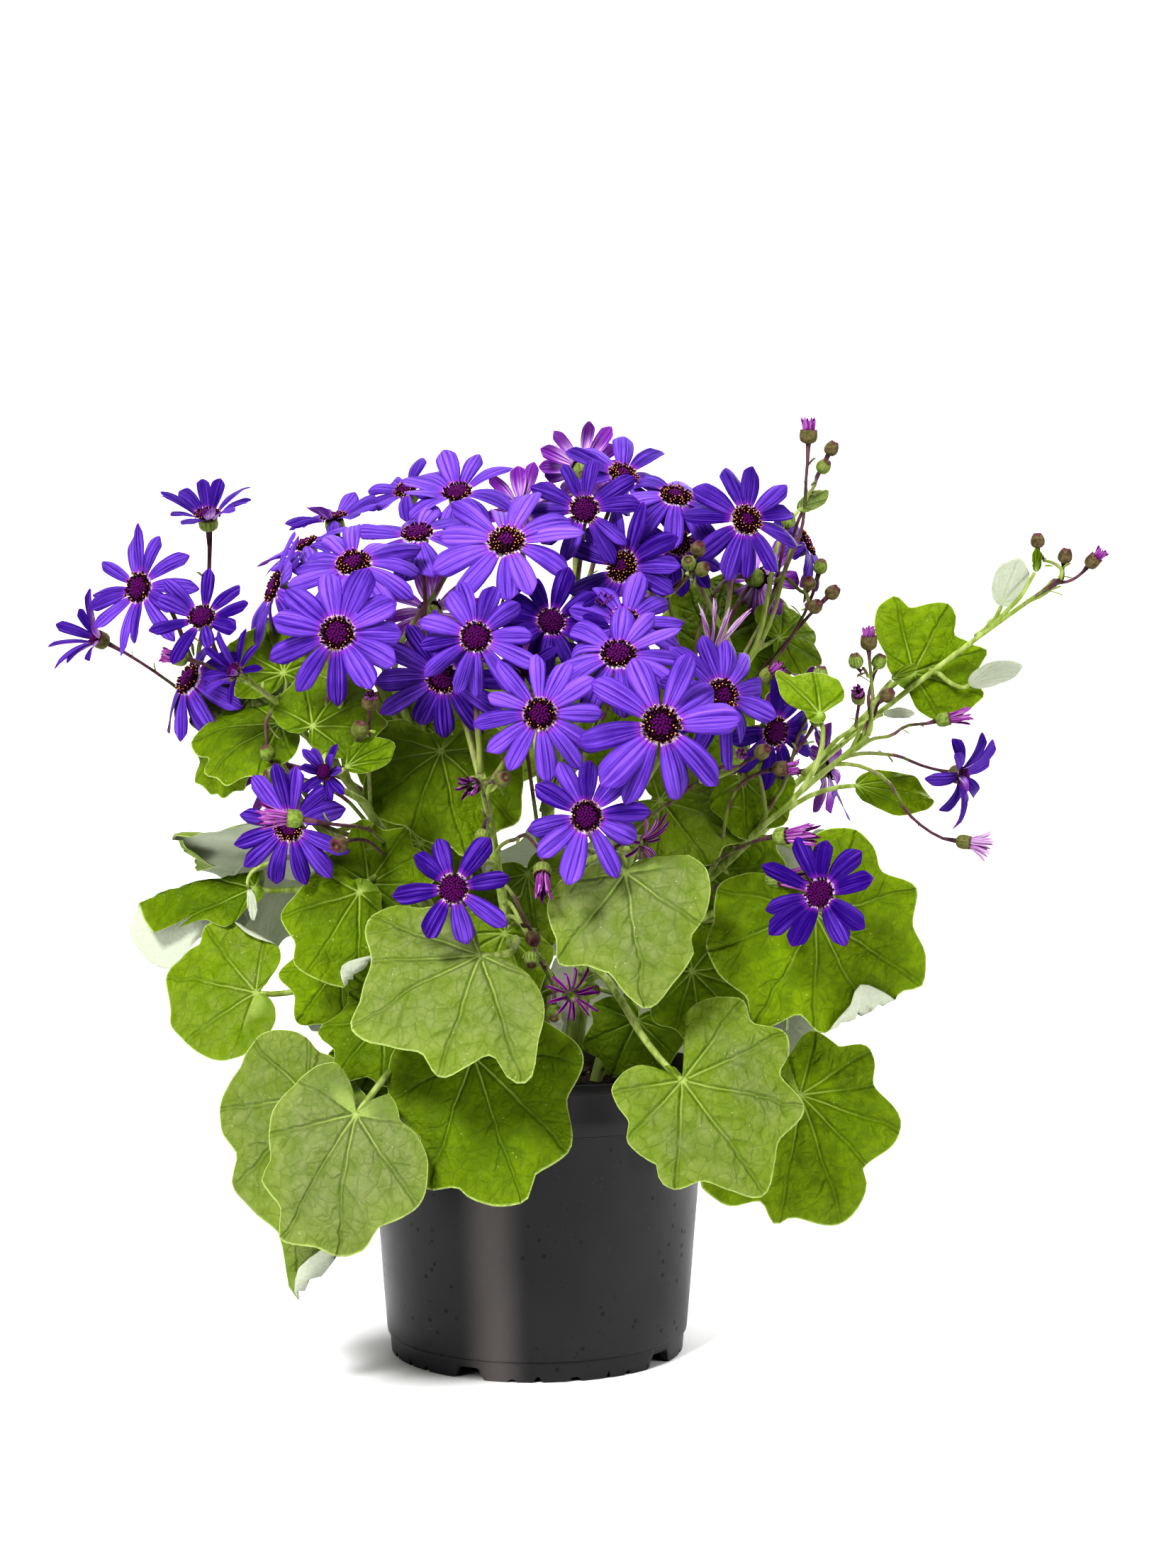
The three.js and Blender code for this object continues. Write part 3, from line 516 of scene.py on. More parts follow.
# ---------------------------------------------------------------- Leaves
# Soft palmate leaves with shallow blunt lobes and a heart-shaped base, each
# on a juicy ribbed stalk of its own. The upper side is yellow-green with
# raised pale veins and a pale edge, the underside is covered in white felt.
LEAVES = {  # part of stem | x y z of the stalk's end | azimuth elevation | clock angle of the tip | length
    "far_left": [
        (0.5, -137, -12, 224, -15, 32, 268, 60), (0.42, -122, 6, 244, 168, 74, 92, 66),
        (0.32, -132, -40, 176, -20, 22, 270, 55), (0.92, -119, -40, 327, -10, 20, 340, 35),
        (0.85, -135, -30, 318, -30, 20, 250, 40), (0.6, -136, -34, 225, 160, 20, 180, 16),
        (0.7, -147, 0, 301, -40, 20, 230, 34),
    ],
    "left_front": [
        (0.16, -76, -125, 131, -8, 18, 205, 60), (0.12, -101, -85, 133, -25, 12, 186, 88),
        (0.5, -78, -90, 226, -10, 20, 190, 48), (0.42, -88, -70, 192, -20, 10, 215, 36),
        (0.9, -119, -50, 303, -20, 45, 262, 44), (0.94, -101, -75, 301, -10, 30, 30, 36),
        (0.98, -82, -110, 282, 0, 30, 55, 25), (0.3, -66, -95, 169, -10, 25, 220, 32),
        (0.2, -72, -80, 151, -10, 0, 180, 30), (0.56, -75, -80, 229, -5, 25, 30, 33),
        (0.96, -96, -90, 274, 0, 55, 272, 20),
    ],
    "left_back": [
        (0.35, -84, 35, 196, 265, 20, 180, 54), (0.6, -58, 12, 305, -10, 10, 200, 46),
        (0.45, -56, -12, 246, -15, 10, 190, 42),
    ],
    "centre_front": [
        (0.2, -26, -106, 154, 0, 28, 175, 62), (0.45, -22, -125, 200, -5, 35, 225, 67),
        (0.7, -44, -50, 290, -3, 25, 185, 48),
    ],
    "centre": [
        (0.5, 76, -50, 234, 0, 10, 160, 50), (0.25, 48, -40, 163, 0, 20, 200, 30),
        (0.75, -10, -2, 322, 0, 5, 185, 46), (0.4, -4, -30, 232, 5, 10, 170, 38),
        (0.3, -14, -52, 205, -8, 5, 200, 34),
    ],
    "centre_back": [(0.6, 40, 8, 325, 5, 5, 180, 50), (0.6, 74, 10, 318, 10, 10, 170, 44)],
    "front_right": [
        (0.6, 41, -124, 236, 0, 15, 173, 64), (0.42, 66, -120, 145, 8, 20, 147, 62),
        (0.36, 73, -60, 188, 0, 10, 130, 40), (0.6, 58, -62, 267, 5, 30, 110, 42),
    ],
    "right_front": [
        (0.52, 127, -90, 216, 10, 10, 140, 61), (0.14, 122, -70, 132, 15, 5, 165, 63),
        (0.8, 129, -92, 306, 10, 30, 345, 33), (0.8, 96, -60, 277, 15, 20, 140, 28),
    ],
    "right_up": [
        (0.55, 86, 30, 342, 10, 25, 60, 50), (0.97, 129, 10, 410, 0, 30, 48, 21),
        (0.84, 121, 30, 348, 30, 30, 75, 28),
    ],
    "right_side": [(0.45, 157, 8, 274, 10, 26, 100, 41), (0.3, 108, 28, 200, 95, 20, 180, 60)],
    "far_right": [
        (0.64, 186, 14, 330, 5, 10, 72, 47), (0.76, 214, 12, 324, 165, 35, -62, 30),
        (0.84, 231, 20, 364, 172, 15, 340, 26), (0.62, 174, 0, 326, 0, 35, 52, 17),
        (0.55, 170, 0, 309, 160, 30, -85, 16), (0.86, 246, 10, 380, 30, 10, 20, 14),
    ],
    "back_left": [
        (0.3, -84, 92, 190, 220, 20, 180, 60), (0.2, -40, 122, 160, 195, 20, 180, 65),
        (0.6, -60, 100, 240, 200, 25, 190, 55), (0.7, -128, 60, 236, 240, 25, 180, 55),
    ],
    "back_right": [
        (0.2, 40, 124, 165, 165, 20, 180, 64), (0.3, 105, 92, 180, 140, 20, 180, 62),
        (0.55, 20, 105, 235, 175, 25, 170, 58), (0.65, 140, 60, 235, 120, 25, 180, 55),
    ],
}
LEAF_FOLDS = {  # (stem, number): direction from the tip, where along the blade, how far it is turned over
    ("right_front", 0): (-17, 0.8, 168), ("left_front", 1): (55, 0.665, 160),
    ("left_front", 2): (53, 0.57, 160), ("far_left", 0): (-82, 0.14, -160),
    ("far_left", 1): (12, 0.76, -160), ("far_left", 2): (-115, 0.42, 150),
}
PLAIN_LEAVES = {  # (stem, number) of the small egg-shaped upper leaves: how narrow they are
    ("left_front", 6): 0.75, ("left_front", 10): 0.45, ("right_up", 1): 0.5, ("right_side", 0): 0.62,
    ("far_right", 1): 0.5, ("far_right", 2): 0.72, ("far_left", 5): 0.35,
    ("far_right", 3): 0.4, ("far_right", 4): 0.4, ("far_right", 5): 0.5,
}
PALE_AND_LIT_LEAVES = {  # leaves greyer with down on the upper side, and made lighter as painted light where they stand out in the light
    ("left_front", 0), ("centre_front", 1), ("front_right", 0), ("front_right", 1), ("far_left", 4),
    ("left_front", 1), ("right_up", 1),
}
SHADED_LEAVES = {  # leaves painted a deeper green as painted shade, where others shade them
    ("centre_front", 0), ("centre_front", 2), ("far_left", 0), ("centre", 1), ("left_front", 5),
    ("left_front", 7), ("left_front", 8),
}
OUTLINES = {  # (stem, number): points of the edge, millimetres right of and above the end of the stalk
    ("far_left", 0): [
        (2, 2), (3, 14), (-4, 26), (-20, 31), (-30, 28), (-42, 30), (-49, 33), (-60, 27), (-69, 14),
        (-62, -5), (-52, -18), (-38, -18), (-29, -13), (-22, -15), (-13, -18), (-2, -9),
    ],
    ("left_front", 0): [
        (0, 2), (-4, 15), (-11, 22), (-19, 20), (-27, 13), (-38, -1), (-38, -18), (-42, -28), (-34, -37),
        (-34, -51), (-17, -54), (-9, -57), (2, -55), (12, -45), (25, -39), (32, -20), (29, -11), (19, -1),
        (14, 9), (9, 7), (1, 2),
    ],
    ("centre_front", 0): [
        (21, 18), (34, 14), (49, 0), (42, -16), (42, -37), (29, -45), (23, -57), (13, -58), (0, -55),
        (-6, -51), (-19, -52), (-23, -32), (-35, -20), (-37, 0), (-29, 10), (-15, 16), (-3, 8),
    ],
    ("centre_front", 1): [
        (0, 2), (2, 0), (21, -7), (28, -19), (26, -33), (20, -47), (15, -48), (6, -39), (-5, -43), (-16, -46),
        (-25, -37), (-39, -35), (-56, -27), (-52, -15), (-48, -2), (-51, 18), (-42, 23), (-27, 20), (-10, 20),
    ],
    ("front_right", 0): [
        (1, 2), (8, 6), (17, 7), (28, 8), (36, 1), (37, -9), (33, -21), (28, -27), (30, -33), (21, -46),
        (9, -57), (1, -52), (-8, -42), (-16, -39), (-29, -38), (-30, -28), (-34, -16), (-29, -4), (-19, 1),
        (-7, 5),
    ],
    ("front_right", 1): [
        (0, 2), (1, 15), (2, 28), (7, 33), (21, 36), (29, 35), (32, 25), (48, 20), (49, 13), (44, 3),
        (55, -12), (43, -25), (41, -34), (36, -47), (21, -45), (8, -41), (-4, -44), (-10, -41), (-11, -34),
        (-24, -25), (-24, -16), (-31, -4), (-27, 3), (-19, 7), (-8, 6), (-3, 2),
    ],
    ("right_front", 2): [
        (-18, 22), (-10, 19), (-1, 21), (8, 18), (12, 9), (10, 5), (2, 1), (-7, 1), (-16, 7), (-18, 15),
    ],
    ("right_front", 1): [
        (-5, 18), (8, 29), (18, 22), (35, 20), (36, 4), (50, -18), (31, -35), (33, -43), (22, -60),
        (-2, -56), (-9, -59), (-17, -48), (-35, -48), (-45, -39), (-31, -21), (-14, -7), (-8, 1),
    ],
    ("right_front", 0): [
        (-1, 35), (9, 39), (22, 38), (28, 32), (32, 20), (48, 11), (46, -4), (52, -21), (50, -32),
        (40, -35), (36, -47), (30, -58), (20, -54), (2, -52), (-7, -44), (-26, -49), (-31, -35),
        (-45, -23), (-49, -15), (-45, 0), (-44, 12), (-31, 19), (-15, 17), (-7, 20),
    ],
    ("left_front", 2): [
        (-36, -12), (-30, -21), (-30, -31), (-23, -36), (-9, -40), (1, -43), (9, -31), (10, -16), (10, -4),
        (4, 5), (-3, 5), (-11, 10), (-20, 9), (-30, -1),
    ],
    ("left_front", 1): [
        (-10, 29), (-29, 23), (-34, 14), (-46, -9), (-43, -17), (-35, -27), (-37, -43), (-19, -57),
        (-13, -61), (-12, -72), (-11, -83), (-5, -89), (6, -86), (15, -74), (17, -60), (30, -45), (35, -20),
        (20, 10), (5, 20),
    ],
    ("far_left", 2): [
        (2, 1), (6, 6), (11, 13), (9, 23), (2, 30), (-8, 34), (-19, 35), (-28, 30), (-31, 23), (-42, 20),
        (-49, 8), (-48, -1), (-47, -11), (-36, -22), (-27, -28), (-5, -29), (5, -23), (11, -13), (8, -3),
        (2, 0),
    ],
    ("centre_front", 2): [
        (37, 0), (38, -17), (36, -31), (27, -34), (19, -38), (12, -47), (4, -42), (-8, -39), (-17, -33),
        (-26, -30), (-35, -26), (-37, -16), (-32, -2), (-36, 10), (-20, 16), (-6, 8), (5, 7), (22, 14),
    ],
    ("far_right", 0): [
        (-15, 35), (-8, 39), (-1, 33), (20, 35), (23, 30), (22, 20), (31, 15), (39, 12), (36, 6), (31, -2),
        (36, -11), (32, -15), (13, -24), (4, -20), (-3, -9), (-9, -4), (-13, 7), (-18, 27),
    ],
}
STALK_SIDES = {("centre_front", 1): 80, ("front_right", 1): 318}  # clock angle from which the stalk comes
BLADE_STEPS, BLADE_RINGS = 108, [0, 0.06, 0.14, 0.23, 0.33, 0.44, 0.56, 0.68, 0.79, 0.88, 0.95, 0.985, 1.0]
BLADE_HALF = 0.32  # half the thickness
FOLD_RADIUS = 1.3
SEVEN_LOBES = 42  # length from which a leaf has seven lobes, and not five
FINE_BLADE = 32  # length above which a blade is cut finely


def axes_of(azimuth, elevation):
    """The direction a blade or flower faces, the steepest line across it, and its side."""
    turn, rise = math.radians(azimuth), math.radians(elevation)
    face = np.array([math.cos(rise) * math.sin(turn), -math.cos(rise) * math.cos(turn), math.sin(rise)])
    up = unit(UP - face * UP.dot(face))
    return face, up, np.cross(up, face)


def tip_of(up, side, clock):
    turn = math.radians(clock)
    return side * math.sin(turn) + up * math.cos(turn)


def sheet_blank(piece):
    """A flat unit piece made into a thin closed body, as a blank with upper and under side."""
    wall = piece.modifiers.new("wall", "SOLIDIFY")
    wall.thickness = 0.02
    wall.offset = 0
    apply_modifiers(piece)
    return as_blank(piece)


def edge_through(points, tip, across):
    """Distance of the edge in each whole degree from the tip, through points given as seen from the front."""
    seen = np.array([[tip[0], across[0]], [tip[2], across[2]]])
    forward, aside = np.linalg.solve(seen, np.array(points, float).T)
    directions, reaches = np.degrees(np.arctan2(aside, forward)), np.hypot(forward, aside)
    order = np.argsort(directions)
    directions, reaches = directions[order], reaches[order]
    stands_out = (reaches > np.roll(reaches, 1)) & (reaches > np.roll(reaches, -1))
    tips = directions[stands_out & (np.abs(directions) < 150)]
    x = np.concatenate([directions - 360, directions, directions + 360])
    y = np.tile(reaches, 3)
    steps = np.diff(y) / np.maximum(np.diff(x), 0.5)
    before, after = np.append(steps[0], steps), np.append(steps, steps[-1])
    slopes = np.where(before * after > 0, np.sign(before) * np.minimum(np.abs(before), np.abs(after)), 0)
    degrees = np.arange(-180.0, 181.0)
    place = np.clip(np.searchsorted(x, degrees, side="right") - 1, 0, len(x) - 2)
    span = np.maximum(x[place + 1] - x[place], 0.5)
    part = np.clip((degrees - x[place]) / span, 0, 1)
    edge = y[place] * (1 + 2 * part) * (1 - part) ** 2 + y[place + 1] * part ** 2 * (3 - 2 * part)
    edge = edge + span * part * (1 - part) * (slopes[place] * (1 - part) - slopes[place + 1] * part)
    return degrees, np.maximum(edge, 1.0), tips


def edge_of(lobes, length, draw):
    """The same from the directions of the lobes and their shares of the length."""
    directions, tips = np.array(lobes, float).T
    degrees = np.arange(-180.0, 181.0)
    edge = np.interp(degrees, directions, tips)
    for start, end in zip(directions, directions[1:]):
        part = np.clip((degrees - start) / (end - start), 0, 1) ** draw.uniform(0.75, 1.35)
        notch = min(0.16, 0.0034 * (end - start)) * draw.uniform(0.4, 1.4)
        edge = edge * (1 - notch * np.sin(math.pi * part) ** 1.9)
    for last in (-directions[0], directions[-1]):
        beyond = degrees * (1 if last == directions[-1] else -1) - last
        inward = np.clip(beyond / (177 - last), 0, 1)
        edge = edge * (1 - 0.96 * inward ** draw.uniform(0.6, 1.3))
    rounding = np.array([1, 2, 3, 2, 1]) / 9
    return degrees, length * np.convolve(np.pad(edge, 2, mode="edge"), rounding, mode="valid"), directions


def lobes_of(large, draw):
    """Lobes for a leaf of no special shape: its tips, with a lesser tooth here and there between them."""
    step, count = (39, 3) if large else (46, 2)
    lobes = []
    for number in range(-count, count + 1):
        direction = number * step + draw.uniform(-6, 6)
        reach = (1.03 - 0.33 * (direction / 100) ** 2) * draw.uniform(0.93, 1.07)
        lobes.append((direction, reach))
        if draw.random() < 0.35 and number < count:
            lobes.append((direction + 0.5 * step, reach * draw.uniform(0.9, 0.97)))
    return lobes


def main_veins(directions):
    """The lobes that a main vein runs to: the tip, and outwards from it those that stand well apart."""
    middle = min(directions, key=abs)
    veins = [middle]
    for way in (1, -1):
        last = middle
        for direction in sorted(directions, key=lambda value: way * value):
            if way * (direction - last) >= 24:
                last = direction
                veins.append(direction)
        veins.append(last + way * 45)
        veins.append(last + way * 90)
    veins.sort()
    for before, after in zip(veins[:-1], veins[1:]):
        if after - before > 48:
            veins.append(0.5 * (before + after))
    veins.sort()
    return np.radians(veins), veins.index(middle)


def blade_shape(blank, row, seed, slimness=None, points=None, fold=None):
    """A leaf blade: its places in millimetres, and the marks that its veins and edge are drawn by."""
    _, x, y, z, azimuth, elevation, clock, length = row
    draw = random.Random(seed)
    face, up, side = axes_of(azimuth, elevation)
    tip = tip_of(up, side, clock)
    across = np.cross(face, tip)
    given_x, given_y, given_z = blank["places"].T
    turn = np.arctan2(given_y, given_x)
    rho = np.hypot(given_x, given_y)
    if slimness:
        outline = length * np.maximum(np.cos(0.74 * np.clip(np.abs(turn), 0, 2.05)) ** 2.2, 0.03)
        outline = outline * (1 - 0.05 * np.sin(5 * turn) ** 2)
        veins, middle = np.radians([-150, -100, -60, -28, 0, 28, 60, 100, 150]), 4
    else:
        if points:
            degrees, edge, tips = edge_through(points, tip, across)
        else:
            degrees, edge, tips = edge_of(lobes_of(length >= SEVEN_LOBES, draw), length, draw)
        outline = np.interp(np.degrees(turn), degrees, edge)
        veins, middle = main_veins(tips)
    order = np.interp(turn, veins, np.arange(len(veins)) - middle)
    sector = np.clip(np.searchsorted(veins, turn), 1, len(veins) - 1)
    pitch = veins[sector] - veins[sector - 1]
    out = rho * outline
    flat_x, flat_y = out * np.cos(turn), out * np.sin(turn) * (slimness or 1)
    half = BLADE_HALF * np.where(given_z > 0, 1, -1) * (1.25 - 0.8 * rho ** 3)
    toward, lift, tilt, calm = 0, 0, np.zeros_like(out), 1
    if fold:
        toward, where, over = math.radians(fold[0]), fold[1] * length, math.radians(abs(fold[2]))
        way = math.copysign(1, fold[2])
        depth = flat_x * math.cos(toward) + flat_y * math.sin(toward) - where
        aside = -flat_x * math.sin(toward) + flat_y * math.cos(toward)
        bend = np.clip(depth / FOLD_RADIUS, 0, over)
        beyond = np.maximum(depth - FOLD_RADIUS * over, 0)
        new_depth = where + FOLD_RADIUS * np.sin(bend) + beyond * np.cos(over)
        flat_x = np.where(depth > 0, new_depth * math.cos(toward) - aside * math.sin(toward), flat_x)
        flat_y = np.where(depth > 0, new_depth * math.sin(toward) + aside * math.cos(toward), flat_y)
        lift = way * np.where(depth > 0, FOLD_RADIUS * (1 - np.cos(bend)) + beyond * np.sin(over), 0)
        tilt = np.where(depth > 0, way * bend, 0)
        calm = 1 - np.clip(depth / 8, 0, 1)
    from_foot = np.hypot(flat_x, flat_y)
    waves = draw.uniform(-0.02, 0.045) * length * np.cos(2 * math.pi * order) * rho ** 2
    waves = waves * np.clip(outline / length, 0, 1)
    folds = [noise.noise(Vector((p * 0.05, q * 0.05, seed * 1.3))) for p, q in zip(flat_x, flat_y)]
    sway = np.array(folds) * 0.085 * np.minimum(from_foot, length)
    off_vein = (order + 0.5) % 1 - 0.5
    off_main = np.abs(out * np.sin(off_vein * pitch))
    puff = 0.014 * length * (1 - np.exp(-(off_main / (0.06 * length)) ** 2))
    puff = puff * np.sin(math.pi * np.clip(rho, 0, 1) ** 0.8)
    frill = 0.25 * np.sin(turn * 23 + draw.uniform(0, 3)) * rho ** 5
    rise = 0.08 * from_foot - 0.2 * from_foot ** 2 / length + (waves + puff) * calm + sway + frill + lift
    shift = half * -np.sin(tilt)
    places = (
        np.array([x, y, z], float)
        + np.outer(flat_x + shift * math.cos(toward), tip)
        + np.outer(flat_y + shift * math.sin(toward), across)
        + np.outer(rise + half * np.cos(tilt), face)
    )
    under = (given_z < 0).astype(float)
    return places, {"turn": order, "pitch": pitch, "reach": out, "rim": rho, "under": under}


rings = [(ring, 0) for ring in BLADE_RINGS]
blade_blank = sheet_blank(turned("blade", rings, BLADE_STEPS, unit=1))
small_blade_blank = sheet_blank(turned("small_blade", rings[::2], BLADE_STEPS // 2, unit=1))

leaf = Finish("leaf", Specular_IOR_Level=0.11)
turn, reach, rim, under, tone = (leaf.mark(name) for name in ("turn", "reach", "rim", "under", "tone"))
wander = leaf.cloud(42, 3) - 0.5
turn = turn + wander * 0.32
off_turn = leaf.calc("FRACT", turn + 0.5) - 0.5
off_angle = off_turn * leaf.mark("pitch")
down = reach * leaf.calc("COSINE", off_angle)
beside = abs(reach * leaf.calc("SINE", off_angle))
main_vein = (beside / rim.grade(0, 1, 0.6, 0.22)).grade(0.3, 1, 1, 0)
main_valley = beside.grade(0.2, 1.9, 1, 0)
sector = leaf.calc("FLOOR", turn + 0.5) * 2 + leaf.calc("SIGN", off_turn)
bowed = beside * 0.7 + beside ** 2 * 0.025
order = (down - bowed) / 12 + wander * 1.1 + leaf.scatter(sector + tone * 30)
side_off = abs(leaf.calc("FRACT", order) - 0.5) * 9
shown = rim.grade(0.15, 0.35) * rim.grade(0.8, 0.97, 1, 0.2) * abs(off_turn).grade(0.2, 0.45, 1, 0)
side_vein = side_off.grade(0.05, 0.36, 1, 0) * shown
side_valley = side_off.grade(0.1, 1.2, 1, 0) * shown
drift = leaf.vector(wander * 0.012, 0.0, leaf.cloud(95, 2) * 0.006)
warped = leaf.vectors("ADD", leaf.place(), drift)
mesh_gap = leaf.cells(165, "DISTANCE_TO_EDGE", warped)
net = mesh_gap.grade(0.0, 0.08, 1, 0)
fine_net = leaf.cells(390, "DISTANCE_TO_EDGE", warped).grade(0.0, 0.12, 1, 0)
patches = leaf.cloud(30, 4)
puckers = leaf.cloud(150, 3)
# how sunken the lamina is beside the veins and in the fine net: it lowers the bump, and in the colour it is
# painted shade
valley_depth_and_shade = leaf.calc("MAXIMUM", leaf.calc("MAXIMUM", main_valley, side_valley * 0.5), net * 0.14)
# the puckers also lighten the raised parts of the puckering, as painted light
brightness = tone * 0.85 + patches * 0.4 + puckers * 0.3
lines = leaf.calc("MAXIMUM", side_vein, leaf.calc("MAXIMUM", net * 0.55, fine_net * 0.25))
lines = leaf.calc("MAXIMUM", lines, main_vein * rim.grade(0.3, 0.6, 0, 0.8))
specks = leaf.cells(380).grade(0.08, 0.13, 1, 0) * leaf.cloud(120, 1).grade(0.58, 0.64)
lamina = leaf.coats(
    leaf.mix(brightness.grade(0.3, 0.8), (0.09, 0.142, 0.0004), (0.162, 0.243, 0.001)),
    # greyer where brightest: the down of the pale leaves, and partly a painted sheen where they face the
    # light
    (brightness.grade(0.72, 1.12), (0.182, 0.215, 0.083)),
    (rim.grade(0.6, 1.0, 0, 0.25), (0.22, 0.3, 0.01)),
    # painted shade: darker in the sunken valleys beside the veins
    (valley_depth_and_shade * 0.22, (0.06, 0.115, 0.001)),
    # painted shade: darker in the dips of the puckering
    (puckers.grade(0.34, 0.66, 0.3, 0), (0.055, 0.1, 0.001)),
    (lines * 0.4, (0.066, 0.13, 0.008)),
    (main_vein * rim.grade(0.12, 0.7, 0.52, 0.1), (0.33, 0.42, 0.12)),
    (reach.grade(0.6, 2.4, 0.6, 0), (0.3, 0.38, 0.12)),
    (rim.grade(0.98, 1.0, 0, 0.8), (0.45, 0.55, 0.2)),
    (specks * 0.45, (0.6, 0.66, 0.45)),
)
felt = leaf.mix(leaf.cloud(900, 3), (0.34, 0.375, 0.285), (0.5, 0.52, 0.43))
felt = leaf.mix(leaf.calc("MAXIMUM", main_vein, side_vein) * 0.4, felt, (0.38, 0.44, 0.25))
leaf.into("Base Color", leaf.mix(under, lamina, felt))
leaf.into("Roughness", under.grade(0, 1, 0.5, 0.92))
relief = puckers - valley_depth_and_shade * 0.65 + mesh_gap.grade(0.0, 0.35) * 0.16 + leaf.cloud(700, 3) * 0.25
leaf.bump(relief * under.grade(0, 1, 1, 0.3), 0.0022, 0.8)

slim_rod = rod_blank(10, 14)
leaf_seed = 100
for name, rows in LEAVES.items():
    copies = []
    for number, row in enumerate(rows):
        leaf_seed += 1
        part, x, y, z, azimuth, elevation, clock, length = row
        face, up, side = axes_of(azimuth, elevation)
        arrival = unit(tip_of(up, side, clock) * 0.85 + face * 0.4)
        place = (name, number)
        if place in STALK_SIDES:
            arrival = unit(face * 0.25 - tip_of(up, side, STALK_SIDES[place]))
        attach = np.array([x, y, z], float)
        thickness = 0.9 + length / 75
        run = branch_run(stem_runs[name], part, attach - arrival * 0.6, arrival)
        shaped = bent(
            slim_rod, run, lambda along: thickness * (1.15 - 0.35 * along),
            ribs=5, rib_height=0.1, wobble=2, seed=leaf_seed,
        )
        copies.append((slim_rod, shaped, {"purple": 0.02}, 1))
        blank = blade_blank if length > FINE_BLADE else small_blade_blank
        places, marks = blade_shape(
            blank, row, leaf_seed, PLAIN_LEAVES.get(place), OUTLINES.get(place), LEAF_FOLDS.get(place)
        )
        tone = random.Random(leaf_seed + 50).uniform(0.1, 0.6)
        # pale leaves are lighter partly for their down and partly as painted light
        if place in PALE_AND_LIT_LEAVES:
            tone = 0.5 * tone + 0.62
        # painted shade: leaves lying in the shade of others get a darker tone
        elif place in SHADED_LEAVES:
            tone = 0.25 * tone
        marks["tone"] = tone
        copies.append((blank, places, marks, 0))
    dressed(grown(f"leaves_{name}", copies, [leaf, stalk]), "greenery", f"leafy_stem_{name}")


